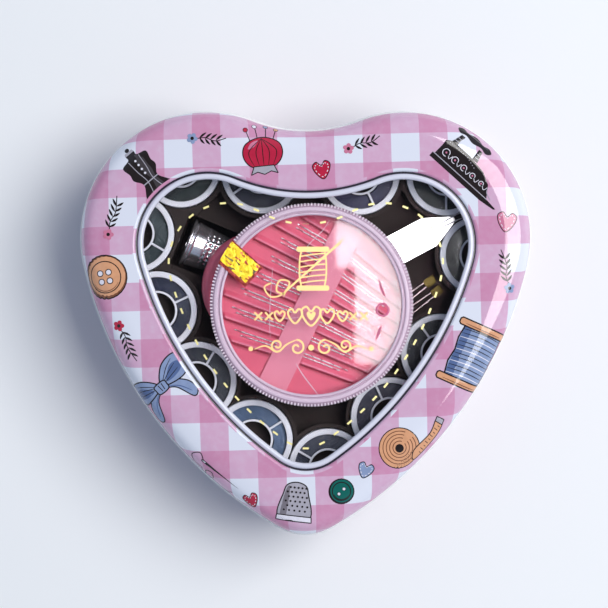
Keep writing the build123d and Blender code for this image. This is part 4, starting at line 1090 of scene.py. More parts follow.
dress(metal("needle_steel", (0.62, 0.58, 0.61), 0.20, 0.36), "needles_left", "needles_right")
dress(metal("pin_steel", (0.60, 0.50, 0.52), 0.10, 0.24), "safety_pin_wires")
dress(metal("polished_steel", (0.78, 0.77, 0.79), 0.12, 0.30), "threader_wire", "tape_spring",
      "tape_tab")
dress(metal("bright_aluminium", (0.95, 0.94, 0.96), 0.28, 0.45), "threader_plate")
# far darker than real brass: the pin heads' shade is painted into the colour
dress(metal("brass", (0.070, 0.050, 0.016), 0.25, 0.5, (700, 700, 300), 0.9),
      "safety_pin_heads")
dress(metal("satin_tin", (0.70, 0.70, 0.73), 0.25, 0.42), "base_bottom")
print("metal parts dressed")

# %% Tape measure
dress(plastic("pink_case", (0.92, 0.18, 0.27), 0.12, 0.25, 160, 0.04, 0.6),
      "tape_case_bottom", "tape_case_top", "tape_button")
dress(plastic("white_drum", (0.80, 0.80, 0.80), 0.35, 0.5), "tape_drum")
dress(card_finish("woven_tape", (0.86, 0.82, 0.66), (0.78, 0.74, 0.58)), "tape_ribbon")
print("tape measure dressed")

# %% [markdown]
# ## The printed pictures
# Small sewing pictures are scattered over the gingham. They are drawn here as a printer would:
# flat areas of ink, then black line work over them. Everything is drawn on the flat sheet and
# then laid on the pressed lid by the same rule as the gingham, so a picture that reaches the
# shoulder bends down with it. Each ink area is a thin skin a few hundredths of a millimetre
# over the one before, filled with small triangles so that it can follow the bend. Lines lie
# between two areas, each a hair over the last, so that no two faces share a place.


# %% From flat sheet to pressed lid
def foot_of(arcs, x, y):
    """Depth inside the outline, and the outward direction there."""
    best = np.full(x.shape, 1e9)
    nx, ny = np.zeros(x.shape), np.zeros(x.shape)
    for a in arcs:
        swing = np.arctan2(y - a.y, x - a.x)
        low, high = min(a.start, a.end), max(a.start, a.end)
        turned = low + np.mod(swing - low, 2 * math.pi)
        near = a.side * (a.r - np.hypot(x - a.x, y - a.y))
        pick = (turned <= high + 1e-9) & (np.abs(near) < np.abs(best))
        best = np.where(pick, near, best)
        nx = np.where(pick, a.side * np.cos(swing), nx)
        ny = np.where(pick, a.side * np.sin(swing), ny)
    return best, nx, ny


def on_lid(spots, lift):
    """Lay points of the flat print on the lid's outer skin, `lift` over it."""
    x, y = spots[:, 0], spots[:, 1]
    depth, nx, ny = foot_of(BEAD_LINE, x, y)
    reach = np.maximum(0, -depth - PANEL_U)
    crown = np.minimum(reach / CROWN_R, SOFT)
    tight_run = np.clip(reach - CROWN_R * SOFT, 0, SHOULDER_R * TIGHT)
    angle = crown + tight_run / SHOULDER_R
    sink = np.maximum(0, reach - CROWN_R * SOFT - SHOULDER_R * TIGHT)
    out = CROWN_R * np.sin(crown) + SHOULDER_R * (np.sin(angle) - np.sin(crown))
    down = CROWN_R * (1 - np.cos(crown)) + SHOULDER_R * (np.cos(crown) - np.cos(angle)) + sink
    shift = out - reach + lift * np.sin(angle)
    z = TIN_HEIGHT - down + lift * np.cos(angle)
    return np.stack([x + nx * shift, y + ny * shift, z], 1)


INK_MARGIN = 0.0013               # the groove begins this far outside the window's outline


def stop_at_groove(spots):
    """The print ends at the groove: points past it move back to its edge."""
    depth, nx, ny = foot_of(WINDOW_LINE, spots[:, 0], spots[:, 1])
    past = np.maximum(0, depth + INK_MARGIN)
    return spots + np.stack([nx, ny], 1) * past[:, None], past > 1e-9


# %% Inks
BLACK, GREY, WHITE = (0.022, 0.017, 0.018), (0.20, 0.18, 0.21), (0.80, 0.77, 0.86)
OCHRE, BROWN, RED = (0.72, 0.36, 0.20), (0.20, 0.08, 0.045), (0.50, 0.022, 0.060)
GREEN, BLUE, DEEP_BLUE = (0.010, 0.13, 0.11), (0.26, 0.33, 0.52), (0.10, 0.15, 0.31)
ROSE, SILVER, SOFT_BLACK = (0.62, 0.20, 0.32), (0.42, 0.40, 0.46), (0.060, 0.052, 0.058)
INK_LIFT = 0.000012               # the first area over the tin
AREA_STEP, LINE_STEP, LINE_OVER = 0.000007, 0.000001, 0.0000035
INK_GRAIN = 0.0006                # longest edge in an ink area
LINE_GRAIN = 0.6                  # longest step of a line, as a share of that
TAPER_END = 0.12                  # a tapered line starts this far into its swell, in radians
print("inks and their layers are set")


# %% Curves
def mirrored(points, way):
    """The points as they are for a way of 1, and their mirror image for -1."""
    return [(way * x, y) for x, y in points]


def arc_points(x, y, r, start=0, end=360, count=28):
    """Points along an arc, or evenly round a whole circle."""
    turns = np.radians(np.linspace(start, end, count, endpoint=abs(end - start) < 359))
    return np.stack([x + r * np.cos(turns), y + r * np.sin(turns)], 1)


def smooth(points, closed=True, count=7):
    """Smooth curve through a few points."""
    p = np.array(points, float)
    size = len(p)
    out = []
    for k in range(size if closed else size - 1):
        picks = [(k + j) % size if closed else min(max(k + j, 0), size - 1) for j in (-1, 0, 1, 2)]
        a, b, c, d = p[picks]
        for t in np.linspace(0, 1, count, endpoint=False):
            out.append(0.5 * (2 * b + (c - a) * t + (2 * a - 5 * b + 4 * c - d) * t ** 2
                              + (3 * b - a - 3 * c + d) * t ** 3))
    if not closed:
        out.append(p[-1])
    return np.array(out)


# %% Pen
class Pen:
    """Draws in millimetres round a place on a sheet; `lay` puts the sheet in space."""

    def __init__(self, lay, grain=INK_GRAIN, trim=lambda spots: (spots, [False] * len(spots))):
        self.bm = bmesh.new()
        self.colour = self.bm.loops.layers.float_color.new("Ink")
        self.lay, self.grain, self.trim = lay, grain, trim
        self.move(0, 0)

    def move(self, x, y, turn=0.0, size=1.0):
        """Go to another place on the sheet, back to the lowest layer."""
        self.spot, self.turn, self.size = np.array([x, y]), math.radians(turn), size
        self.level = INK_LIFT

    def to_sheet(self, points):
        """Points round the place, in metres on the sheet."""
        c, s = math.cos(self.turn), math.sin(self.turn)
        p = np.asarray(points, float) * self.size
        return (np.stack([p[:, 0] * c - p[:, 1] * s, p[:, 0] * s + p[:, 1] * c], 1)
                + self.spot) * MM

    def put(self, flat, faces, colour, lift):
        """Lay faces of the sheet in space, without those past its end."""
        flat, gone = self.trim(flat)
        verts = [self.bm.verts.new(v) for v in self.lay(flat, lift)]
        for ring in faces:
            if all(gone[k] for k in ring):
                continue
            face = self.bm.faces.new([verts[k] for k in ring])
            face.smooth = True
            if face.calc_area() == 0:
                self.bm.faces.remove(face)
                continue
            for loop in face.loops:
                loop[self.colour] = (*colour, 1)

    def fill(self, points, colour):
        """One area of ink."""
        edge = self.to_sheet(points)
        ring = [Vector(p) for p in edge]
        low, high = edge.min(0), edge.max(0)
        grid = [Vector((x, y)) for x in np.arange(low[0], high[0], self.grain)
                for y in np.arange(low[1], high[1], self.grain)]
        grid = [p for p in grid if ring_holds(p, ring)]
        count = len(ring)
        edges = [(k, (k + 1) % count) for k in range(count)]
        verts, _, faces, _, _, _ = delaunay_2d_cdt(ring + grid, edges, [], 1, 1e-9)
        self.level += AREA_STEP
        self.put(np.array([tuple(v) for v in verts]), faces, colour, self.level)

    def line(self, points, width, colour, closed=False, taper=False):
        """One stroke."""
        p = self.to_sheet(points)
        if closed:
            p = np.vstack([p, p[:1]])
        steps = np.hypot(*np.diff(p, axis=0).T)
        run = np.concatenate([[0], np.cumsum(steps)])
        count = max(3, int(run[-1] / self.grain / LINE_GRAIN) + 1)
        at = np.union1d(np.linspace(0, run[-1], count), run)
        at = at[np.concatenate([[True], np.diff(at) > 1e-7])]
        q = np.stack([np.interp(at, run, p[:, k]) for k in (0, 1)], 1)
        way = np.gradient(q, axis=0)
        if closed:
            way[0] = way[-1] = q[1] - q[-2]
        way /= np.maximum(np.hypot(*way.T), 1e-12)[:, None]
        side = np.stack([-way[:, 1], way[:, 0]], 1)
        half = np.full(len(q), width * self.size * MM / 2)
        if taper:
            half *= np.sin(np.linspace(TAPER_END, math.pi - TAPER_END, len(q))) ** 0.5
        left, right = q + side * half[:, None], q - side * half[:, None]
        size = len(q)
        faces = [(k, k + size, k + size + 1, k + 1) for k in range(size - 1)]
        self.level += LINE_STEP
        self.put(np.vstack([left, right]), faces, colour, self.level + LINE_OVER)

    def area(self, points, colour, width):
        """One area of ink with a black line round it."""
        self.fill(points, colour)
        self.line(points, width, BLACK, closed=True)

    def dot(self, x, y, r, colour, count=28):
        """A round spot of ink."""
        self.fill(arc_points(x, y, r, count=count), colour)

    def curve(self, points, width, colour, taper=False):
        """A smooth stroke through a few points."""
        self.line(smooth(points, False), width, colour, taper=taper)

    def done(self, name, made):
        """What was drawn becomes a piece."""
        mesh = bpy.data.meshes.new(name)
        self.bm.to_mesh(mesh)
        self.bm.free()
        mesh.materials.append(made)
        return counted(place_mesh(name, mesh))


# %% Button and bow
def button(pen, r, colour, shade, holes=4):
    """A sewn button: dished face, raised edge, holes."""
    pen.dot(0, 0, r, BLACK)
    pen.dot(0, 0, r * 0.95, shade)
    pen.dot(0.03 * r, 0.03 * r, r * 0.88, colour)
    pen.line(arc_points(0, 0, r * 0.70), 0.35, BLACK, closed=True)
    pen.line(arc_points(0, 0, r * 0.62, 200, 330), 0.3, shade, taper=True)
    for k in range(holes):
        t = math.radians(45 + 360 * k / holes)
        x, y = 0.27 * r * math.cos(t), 0.27 * r * math.sin(t)
        pen.dot(x, y, r * 0.15, BLACK, 14)
        pen.dot(x, y, r * 0.11, WHITE, 14)


def bow(pen):
    """A ribbon bow: two loops, two tails and a knot."""
    for way in (-1, 1):
        pen.area(smooth(mirrored([(0.4, -0.5), (3.2, -2.6), (5.4, -7.4), (7.3, -6.4), (6.6, -2.9),
                                  (2.8, 0.3)], way)), BLUE, 0.32)
        pen.curve(mirrored([(1.2, -0.6), (4.0, -2.7), (5.9, -6.0)], way), 0.3, DEEP_BLUE, True)
        loop = smooth(mirrored([(0.2, 0.6), (3.6, 4.6), (8.3, 5.2), (9.4, 1.9), (7.6, -1.0),
                                (3.4, -1.0)], way))
        pen.fill(loop, BLUE)
        pen.fill(smooth(mirrored([(2.2, 0.5), (5.3, 3.2), (7.9, 2.9), (7.6, 0.9), (4.6, 0.0)],
                                 way)), DEEP_BLUE)
        pen.line(loop, 0.35, BLACK, closed=True)
        for lift in (0.7, 1.7, 2.7):
            fold = [(1.0, 0.3 * lift), (4.2, 1.2 * lift), (6.9, 1.55 * lift + 0.3)]
            pen.curve(mirrored(fold, way), 0.22, BLACK, True)
    pen.area(smooth([(-1.5, 1.2), (1.5, 1.2), (1.8, 0), (1.4, -1.4), (-1.4, -1.4), (-1.8, 0)]),
             BLUE, 0.35)
    pen.line([(-0.5, 0.9), (-0.3, -1.0)], 0.25, BLACK)
    pen.line([(0.6, 0.9), (0.4, -1.0)], 0.25, BLACK)


# %% Dress form
def dress_form(pen):
    """A tailor's bust on a turned stand."""
    half = [(1.6, 9.6), (1.9, 7.9), (5.2, 6.8), (4.7, 3.4), (5.0, 1.0), (3.1, -2.4), (5.4, -6.6),
            (4.6, -8.6)]
    bust = [(-1.6, 9.6)] + half + mirrored(half[:0:-1], -1)
    pen.fill(smooth(bust), BLACK)
    pen.fill(smooth([(x * 0.30 + 1.4, y * 0.86 - 0.2) for x, y in bust]), SOFT_BLACK)
    for way in (-1, 1):
        pen.curve(mirrored([(2.3, 7.4), (1.9, 2.5), (1.2, -2.4), (2.6, -8.2)], way), 0.25, SILVER)
    pen.line([(-3.1, -2.4), (3.1, -2.4)], 0.4, SILVER)
    for y in (6.2, 4.4, 2.6, 0.8):
        pen.dot(0, y, 0.42, WHITE, 12)
    pen.fill([(-1.9, 9.5), (1.9, 9.5), (1.5, 10.5), (-1.5, 10.5)], SILVER)
    pen.dot(0, 11.2, 0.85, BLACK, 16)
    pen.fill([(-0.5, -8.6), (0.5, -8.6), (0.6, -11.6), (-0.6, -11.6)], BLACK)
    for way in (-1, 1):
        pen.curve(mirrored([(0, -11.0), (2.2, -11.5), (4.2, -13.2), (5.0, -12.3)], way), 0.55,
                  BLACK)
        pen.curve(mirrored([(0.4, -10.2), (1.6, -9.7), (2.4, -10.6), (1.5, -11.1)], way), 0.3,
                  BLACK)


# %% Iron
def iron(pen):
    """An old flat iron with a turned handle and a little painted ornament."""
    pen.fill([(-14.6, -6.2), (12.8, -6.2), (9.6, -1.6), (4.8, 0.9), (-3.0, 2.1), (-12.4, 2.1),
              (-14.6, 0.6)], BLACK)
    pen.fill([(-15.5, -8.4), (11, -8.4), (17.6, -7.6), (18.2, -6.9), (13.6, -6.4),
              (-15.5, -6.4)], BLACK)
    pen.line([(-15.3, -6.3), (13.2, -6.3)], 0.35, SILVER)
    for x, lean in ((-11.2, 0.8), (-0.6, -0.8)):
        pen.fill([(x - 1.3, 1.9), (x + 1.3, 1.9), (x + lean + 0.9, 6.6), (x + lean - 0.9, 6.6)],
                 BLACK)
        pen.line([(x - 0.9, 3.2), (x + 1.2, 3.2)], 0.3, SILVER)
        pen.line([(x + 0.3 * lean - 0.9, 4.7), (x + 0.3 * lean + 1.0, 4.7)], 0.3, SILVER)
    pen.fill(smooth([(-14.4, 8.6), (-12.6, 10.1), (-9.8, 9.3), (-6, 10.4), (-2.2, 9.3),
                     (0.8, 10.1), (2.6, 8.6), (0.8, 6.9), (-2.2, 7.6), (-6, 6.7), (-9.8, 7.6),
                     (-12.6, 6.9)]), BLACK)
    pen.curve([(-12.4, 9.2), (-6, 9.3), (0.6, 9.2)], 0.3, GREY, True)
    for k in range(5):
        x, r = -11.2 + 4.6 * k, 1.5 - 0.14 * k
        pen.line(arc_points(x, -3.1, r, 0, 300, 16), 0.28, WHITE)
        pen.dot(x, -3.1, 0.38, ROSE, 10)
        pen.curve([(x + r, -3.4), (x + 2.3, -4.3), (x + 3.0, -2.6)], 0.24, WHITE)
    for k in range(13):
        pen.dot(-12.8 + 1.15 * k, 1.0 if k < 9 else 1.0 - 0.35 * (k - 8), 0.2, SILVER, 8)
    pen.curve([(10.4, -2.8), (11.4, -4.4), (14.4, -5.6)], 0.3, SILVER, True)


# %% Pincushion
def pincushion(pen):
    """A tied round cushion with pins."""
    for x, y, lean, colour in ((-3.4, 3.0, -16, RED), (-1.2, 4.0, -6, WHITE),
                               (1.3, 4.1, 8, BLUE), (3.4, 3.0, 20, OCHRE)):
        t = math.radians(90 - lean)
        top = (x + 5.0 * math.cos(t), y + 5.0 * math.sin(t))
        pen.line([(x, y), top], 0.28, BLACK)
        pen.area(arc_points(*top, 0.75, count=14), colour, 0.2)
    cushion = smooth([(-6.3, -1.0), (-5.6, 2.6), (-2.0, 4.6), (2.0, 4.6), (5.6, 2.6),
                      (6.3, -1.0), (4.2, -4.2), (0, -5.1), (-4.2, -4.2)])
    pen.fill(cushion, RED)
    pen.fill(smooth([(-4.6, 1.4), (-3.4, 3.3), (-1.2, 3.9), (-2.6, 2.0)]), ROSE)
    pen.line(cushion, 0.35, BLACK, closed=True)
    for x in (-4.4, -2.1, 0, 2.1, 4.4):
        pen.curve([(0, 4.5), (x, 0.4), (x * 0.7, -4.2)], 0.28, BLACK, True)
    pen.area([(-3.2, -4.4), (3.2, -4.4), (4.3, -7.0), (2.2, -6.2), (0, -7.1), (-2.2, -6.2),
              (-4.3, -7.0)], SILVER, 0.3)


# %% Wooden spool and tape coil
def flange(low, high, out):
    """End disc of a spool seen from its side, with softened corners."""
    soft = 0.25 * (high - low)
    half = [(out - soft, low), (out, low + soft), (out, high - soft), (out - soft, high)]
    return half + mirrored(half[::-1], -1)


def wooden_spool(pen):
    """A wooden spool with blue thread and a loose end."""
    for y in (-8.2, 6.4):
        pen.area(flange(y, y + 1.8, 6.9), OCHRE, 0.35)
        pen.line([(-5.2, y + 0.6), (4.6, y + 0.6)], 0.25, BROWN, taper=True)
    wound = [(-5.2, -6.4), (5.2, -6.4), (5.7, -3.2), (5.2, 0), (5.6, 3.2), (5.2, 6.4),
             (-5.2, 6.4), (-5.6, 3.2), (-5.2, 0), (-5.7, -3.2)]
    pen.fill(wound, BLUE)
    pen.fill([(-5.2, -6.3), (-3.1, -6.3), (-3.3, 6.3), (-5.2, 6.3)], DEEP_BLUE)
    for k in range(12):
        y = -5.7 + 1.05 * k
        pen.curve([(-5.3, y - 0.25), (0, y + 0.25), (5.3, y - 0.1)], 0.24,
                  BLACK if k % 3 else WHITE, True)
    pen.line(wound, 0.35, BLACK, closed=True)
    pen.curve([(5.3, -4.9), (8.6, -5.9), (9.6, -2.6), (7.2, -1.4), (6.9, -4.3), (10.2, -7.9),
               (13.2, -7.0)], 0.38, DEEP_BLUE)


def tape_coil(pen):
    """A rolled measuring tape with its end run out."""
    pen.dot(0, 0, 6.3, BLACK, 36)
    pen.dot(0, 0, 6.0, OCHRE, 36)
    for r in (5.0, 4.0, 3.0, 2.0):
        pen.line(arc_points(0.15, 0.1, r, 20, 350, 30), 0.26, BROWN)
    pen.dot(0, 0, 1.3, BLACK, 18)
    pen.area(smooth([(0.4, -6.2), (9.5, -6.6), (14.5, -5.0), (14.1, -2.8), (9.3, -4.2),
                     (2.2, -3.8)]), OCHRE, 0.32)
    for k in range(9):
        x = 3.0 + 1.2 * k
        pen.line([(x, -6.2 + 0.1 * k), (x, -5.0 + 0.12 * k if k % 2 else -5.5 + 0.12 * k)],
                 0.22, BLACK)
    pen.area([(13.6, -5.5), (15.2, -4.9), (14.6, -2.5), (13.2, -3.0)], SILVER, 0.3)


# %% Thimble, and needle with thread
def print_thimble(pen):
    """A thimble with rows of dimples."""
    cup = smooth([(-4.6, -5.2), (4.6, -5.2), (3.6, 2.2), (2.6, 4.5), (0, 5.3), (-2.6, 4.5),
                  (-3.6, 2.2)])
    pen.fill(cup, SILVER)
    pen.fill(smooth([(-4.2, -4.9), (-2.4, -4.9), (-1.9, 3.6), (-3.1, 2.6)]), GREY)
    pen.line(cup, 0.35, BLACK, closed=True)
    pen.area([(-5.3, -6.3), (5.3, -6.3), (5.1, -4.6), (-5.1, -4.6)], WHITE, 0.32)
    for row in range(6):
        for k in range(5):
            x = (k - 2 + 0.5 * (row % 2)) * (1.55 - 0.08 * row)
            pen.dot(x, -3.0 + 1.35 * row, 0.32, BLACK, 8)


def needle_and_thread(pen):
    """A needle that trails a curl of thread."""
    pen.fill([(-8.6, 0), (-8.0, 0.55), (-6.2, 0.5), (8.6, 0), (-6.2, -0.5), (-8.0, -0.55)],
             BLACK)
    pen.line([(-7.9, 0), (-6.6, 0)], 0.4, WHITE)
    pen.curve([(-7.4, 0), (-10.2, 1.9), (-12.4, -0.6), (-10.4, -3.2), (-7.0, -3.4),
               (-4.6, -5.6), (-1.2, -4.2), (-2.6, -1.8), (-4.9, -3.0), (-2.8, -6.6),
               (3.4, -6.4), (7.4, -3.4)], 0.34, BLACK)


# %% Sprigs and hearts
def sprig(pen, leaves, colour):
    """A stem with paired leaves and a small flower."""
    pen.curve([(0, 0), (2.5, 0.7), (5.5, 0.2), (1.6 * leaves + 2, 1.4)], 0.26, BLACK)
    for k in range(leaves):
        x = 1.0 + 1.55 * k
        for way in (-1, 1):
            pen.fill(smooth([(x, 0.5), (x + 0.9, 0.5 + way * 0.5), (x + 1.7, 0.6 + way * 1.6),
                             (x + 0.6, 0.5 + way * 1.1)]), BLACK)
    for k in range(5):
        t = math.radians(72 * k)
        pen.dot(-1.0 + 0.95 * math.cos(t), 0.95 * math.sin(t), 0.62, colour, 12)
    pen.dot(-1.0, 0, 0.5, BLACK, 12)


def small_heart(r, dip, x=0.0, y=0.0):
    """Outline of a small heart; `dip` is the height of its notch, as a share of r."""
    corners = [(0, dip), (0.5, 1), (1, 0.6), (0.75, -0.25), (0, -1), (-0.75, -0.25), (-1, 0.6),
               (-0.5, 1)]
    return [(x + r * a, y + r * b) for a, b in corners]


def stitched_heart(pen, r, colour):
    """A small felt heart with a running stitch."""
    edge = small_heart(r, 0.55)
    pen.area(smooth(edge), colour, 0.3)
    inner = smooth([(x * 0.76, y * 0.76) for x, y in edge])
    for k in range(0, len(inner) - 2, 4):
        pen.line(inner[k:k + 3], 0.26, WHITE)


# %% Print the lid
INK_TONES = (0.82, 1.15)          # least and most of an ink's colour


def ink_finish(name, roughness, coat):
    """Ink whose colour comes from the drawing, a little uneven."""
    made, tree, shader = material(name)
    colour = node(tree, "ShaderNodeVertexColor", layer_name="Ink").outputs["Color"]
    tone = between(tree, noise(tree, 500, 3), *INK_TONES)
    patchy = node(tree, "ShaderNodeVectorMath", {0: colour, "Scale": tone}, operation="SCALE")
    finish(shader, Base_Color=patchy.outputs[0], Roughness=roughness, Specular_IOR_Level=0.0,
           Coat_Weight=coat, Coat_Roughness=0.05, Coat_IOR=1.58)
    return made


pen = Pen(on_lid, trim=stop_at_groove)
for draw, place, *how in (                     # place: x, y, turn and size
        (dress_form, (-53.5, 50.0, 40, 0.95)), (pincushion, (-14.5, 57.5, 6, 1.05)),
        (iron, (56.1, 53.0, -42, 0.85)), (button, (-67.5, 15.5, 10), 7.6, OCHRE, BROWN, 4),
        (bow, (-48.5, -21.5, 40, 1.25)), (needle_and_thread, (-29.0, -51.0, -38, 0.95)),
        (print_thimble, (-3.5, -59.5, -6, 1.15)), (button, (12.0, -56.5), 4.4, GREEN, BLACK, 2),
        (tape_coil, (31.5, -42.0, 50, 1.12)), (wooden_spool, (56.5, -11.5, -24, 1.35)),
        (sprig, (-66.0, 31.0, 70, 1.2), 5, ROSE), (sprig, (15.5, 59.0, 14, 1.2), 4, ROSE),
        (sprig, (-62.5, -2.0, -70, 1.2), 5, RED), (sprig, (68.5, 13.0, 96, 1.2), 5, BLUE),
        (sprig, (-37.0, 62.0, -8, 1.2), 4, BLUE), (stitched_heart, (5.5, 51.5, 12), 3.0, RED),
        (stitched_heart, (67.5, 34.0, -8), 3.3, ROSE),
        (stitched_heart, (-18.5, -60.0, 20), 2.6, RED),
        (stitched_heart, (20.0, -49.5, -20), 2.6, BLUE)):
    pen.move(*place)
    draw(pen, *how)
picture = pen.done("lid_pictures", ink_finish("printed_ink", 0.3, 0.9))
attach(picture, "lid")

# %% [markdown]
# ## Gold print on the window
# The clear sheet carries a heart of running stitches and a gold ornament. The stitches are
# one short bar laid along the heart by a tree: resample the line, turn each copy along it.


# %% Gold stitches
def gold_ink(name, colour):
    """Gold printing ink, which is more paint than metal."""
    made, tree, shader = material(name)
    finish(shader, Base_Color=(*colour, 1), Metallic=0.35)
    uneven(tree, shader, 900, 0.28, 0.5, 0.1)
    return made


PALE_GOLD, WARM_GOLD = (0.80, 0.72, 0.30), (0.93, 0.64, 0.26)
RUNNING_STITCH = path_tree("running_stitch", "LENGTH", "X", Spacing="Float", Stitch="Vector")
STITCH_GAP, STITCH_SIZE = 0.0059, (0.0020, 0.00065, 0.00003)
GUIDE_STEP, GOLD_LEVEL = 0.0008, window_high.z + 0.00002
STITCH_LINE = heart(0.0923, 0.0826, lobe_r=0.0201, notch_r=0.0317, side_r=0.0973,
                    tip_r=0.0094, shift=-0.0008)
guide = [(p[0], p[1], GOLD_LEVEL) for p in stations(STITCH_LINE, GUIDE_STEP)[0]]
stitches = grow("window_stitches", RUNNING_STITCH, closed_line("stitch_line", guide),
                Spacing=STITCH_GAP, Stitch=STITCH_SIZE, Finish=gold_ink("pale_gold", PALE_GOLD))
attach(stitches, "lid")


# %% Sheet and curls for the ornament
def on_window(spots, lift):
    """Lay points on the flat clear sheet."""
    return np.column_stack([spots, np.full(len(spots), window_high.z + lift)])


def spiral(x, y, r0, r1, start, turn, count=26):
    """Points along a curl from one radius to another."""
    t = np.linspace(0, 1, count)
    angle = np.radians(start + turn * t)
    r = r0 + (r1 - r0) * t
    return np.stack([x + r * np.cos(angle), y + r * np.sin(angle)], 1)


# %% Gold ornament
LINE = 0.62                       # width of the gold lines, mm
pen = Pen(on_window, 0.002)
pen.move(2.4, 18.4, 0, 0.86)      # a spool with a needle
for y in (7.6, -7.6):
    pen.fill(flange(y - 1.0, y + 1.0, 6.4), WARM_GOLD)
for way in (-1, 1):
    pen.curve(mirrored([(4.6, 6.6), (5.2, 3.0), (5.2, -3.0), (4.6, -6.6)], way), LINE, WARM_GOLD)
for k in range(6):
    y = -5.2 + 2.1 * k
    pen.curve([(-4.9, y - 0.5), (0, y + 0.3), (4.9, y + 0.7)], LINE * 0.8, WARM_GOLD)
pen.fill([(-11.6, -11.4), (-10.3, -9.0), (10.3, 9.4), (12.6, 12.4), (9.7, 10.0), (-11.0, -8.6)],
         WARM_GOLD)
pen.curve([(-11.0, -10.0), (-14.2, -8.6), (-13.0, -4.6), (-9.2, -5.4), (-11.6, -9.8),
           (-16.4, -11.0), (-19.0, -7.4), (-16.4, -5.6)], LINE, WARM_GOLD)
pen.move(1.8, 2.4)                # a row of hearts between crosses
for way in (-1, 1):
    for x, r in ((5.4, 2.4), (10.6, 1.7)):
        pen.line(smooth(small_heart(r, 0.5, way * x)), LINE, WARM_GOLD, closed=True)
    for x in (14.2, 17.8):
        for slant in (-1.3, 1.3):
            pen.line([(way * x - 1.3, slant), (way * x + 1.3, -slant)], LINE, WARM_GOLD)
pen.line(smooth(small_heart(3.2, 0.5)), LINE, WARM_GOLD, closed=True)
pen.fill(smooth(small_heart(1.5, 0.5, y=0.1)), WARM_GOLD)
pen.move(1.8, -8.4)               # scrolls
for way in (-1, 1):
    for x, y, r, start in ((4.8, 0.2, 2.7, 90), (11.4, 1.0, 2.2, 270)):
        pen.line(spiral(way * x, y, r, 0.5, start, way * 430), LINE, WARM_GOLD)
    pen.curve(mirrored([(4.8, 2.9), (8.2, 1.3), (11.4, -1.2), (15.4, 0.8), (19.2, -0.4)], way),
              LINE, WARM_GOLD, True)
    pen.dot(way * 20.3, -0.2, 0.8, WARM_GOLD, 14)
pen.dot(0, 0.2, 1.0, WARM_GOLD, 16)
ornament = pen.done("window_ornament", gold_ink("warm_gold", WARM_GOLD))
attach(ornament, "lid")

# %% [markdown]
# ## Foil seal
# The seal is gold foil with a dark red border and slanting marks, creased where it was
# pressed on. Its border is where a point lies near an edge, measured in coordinates that
# are laid along the seal; the marks are a noise stretched slantwise and cut at two levels.

# %% Foil seal
SEAL_ROUND, SEAL_WAY = math.radians(150), math.radians(138)
SEAL_OUT, SEAL_REACH, SEAL_WIDTH, SEAL_BORDER = 0.0278, 0.0130, 0.0090, 0.0008
SEAL_MIDDLE = COMPACT.xy + SEAL_OUT * Vector((math.cos(SEAL_ROUND), math.sin(SEAL_ROUND)))
FOIL_DARK, FOIL_LIGHT, FOIL_BORDER = (0.62, 0.36, 0.006), (0.95, 0.74, 0.02), (0.22, 0.012, 0.008)
DARK_MARK, RED_MARK = (0.09, 0.07, 0.02), (0.36, 0.04, 0.02)
DARK_OVER, RED_UNDER = 0.60, 0.36  # share of noise where a mark sets in
MARK_SLANT, MARK_GRAIN = (0, 0, 0.5), (260, 700, 300)
foil, tree, shader = material("seal_foil")
calc = partial(math_node, tree)
place = node(tree, "ShaderNodeTexCoord").outputs["Object"]
laid = node(tree, "ShaderNodeMapping", {"Vector": place, "Location": (*SEAL_MIDDLE, 0),
                                        "Rotation": (0, 0, SEAL_WAY)},
            vector_type="TEXTURE").outputs[0]
apart = node(tree, "ShaderNodeSeparateXYZ", {0: laid}).outputs
side_edge = calc("GREATER_THAN", calc("ABSOLUTE", apart["Y"]), SEAL_WIDTH / 2 - SEAL_BORDER)
end_edge = calc("LESS_THAN", apart["X"], SEAL_BORDER - SEAL_REACH / 2)
slant = node(tree, "ShaderNodeMapping", {"Vector": laid, "Rotation": MARK_SLANT,
                                         "Scale": MARK_GRAIN}).outputs[0]
marks = noise(tree, 1, 1.5, slant)
ink = cloudy(tree, 420, 4, FOIL_DARK, FOIL_LIGHT, place)
ink = mixed(tree, calc("GREATER_THAN", marks, DARK_OVER), ink, DARK_MARK)
ink = mixed(tree, calc("LESS_THAN", marks, RED_UNDER), ink, RED_MARK)
ink = mixed(tree, calc("MAXIMUM", side_edge, end_edge), ink, FOIL_BORDER)
finish(shader, Base_Color=ink, Metallic=0.45, Coat_Weight=0.6, Coat_Roughness=0.05)
uneven(tree, shader, 650, 0.18, 0.4, 0.6)
dress(foil, "seal_label")
print("seal dressed")

# %% [markdown]
# ## Thimble
# A thimble is drawn from sheet, its rim rolled, and dimpled so that a needle doesn't slip.
# It is turned from a profile like the spools, but with points so close that the skin can
# be pushed in at a grid of dimples. Then it is laid on its side in its pocket.

# %% Thimble's profile
RIM_R, CROWN, HEIGHT, ROLL = 0.0087, 0.0066, 0.0185, 0.0006
THIMBLE_WALL, CROWN_BEND = 0.0006, 0.003
SIDE_IN, NECK_IN = 0.0004, 0.0011      # side and neck behind the rolled rim, inwards from it
NECK_FROM, NECK_TO, SIDE_FOOT, SIDE_FROM = 0.0014, 0.0016, 0.0020, 0.0024
DIMPLE_STEP, DIMPLE_DEPTH, DIMPLES_FROM = 0.0018, 0.00036, 0.0062
DIMPLE_R = 0.42 * DIMPLE_STEP
THIMBLE_STEPS = 288
side_top = HEIGHT - CROWN_BEND
skin = [(RIM_R - ROLL + ROLL * math.sin(t), ROLL - ROLL * math.cos(t))
        for t in np.linspace(0, math.pi, 7)]
skin += [(RIM_R - NECK_IN, NECK_FROM), (RIM_R - NECK_IN, NECK_TO), (RIM_R - SIDE_IN, SIDE_FOOT)]
skin += [(RIM_R - SIDE_IN + (CROWN - RIM_R + SIDE_IN) * z / side_top, z)
         for z in np.linspace(SIDE_FROM, side_top, 66)]
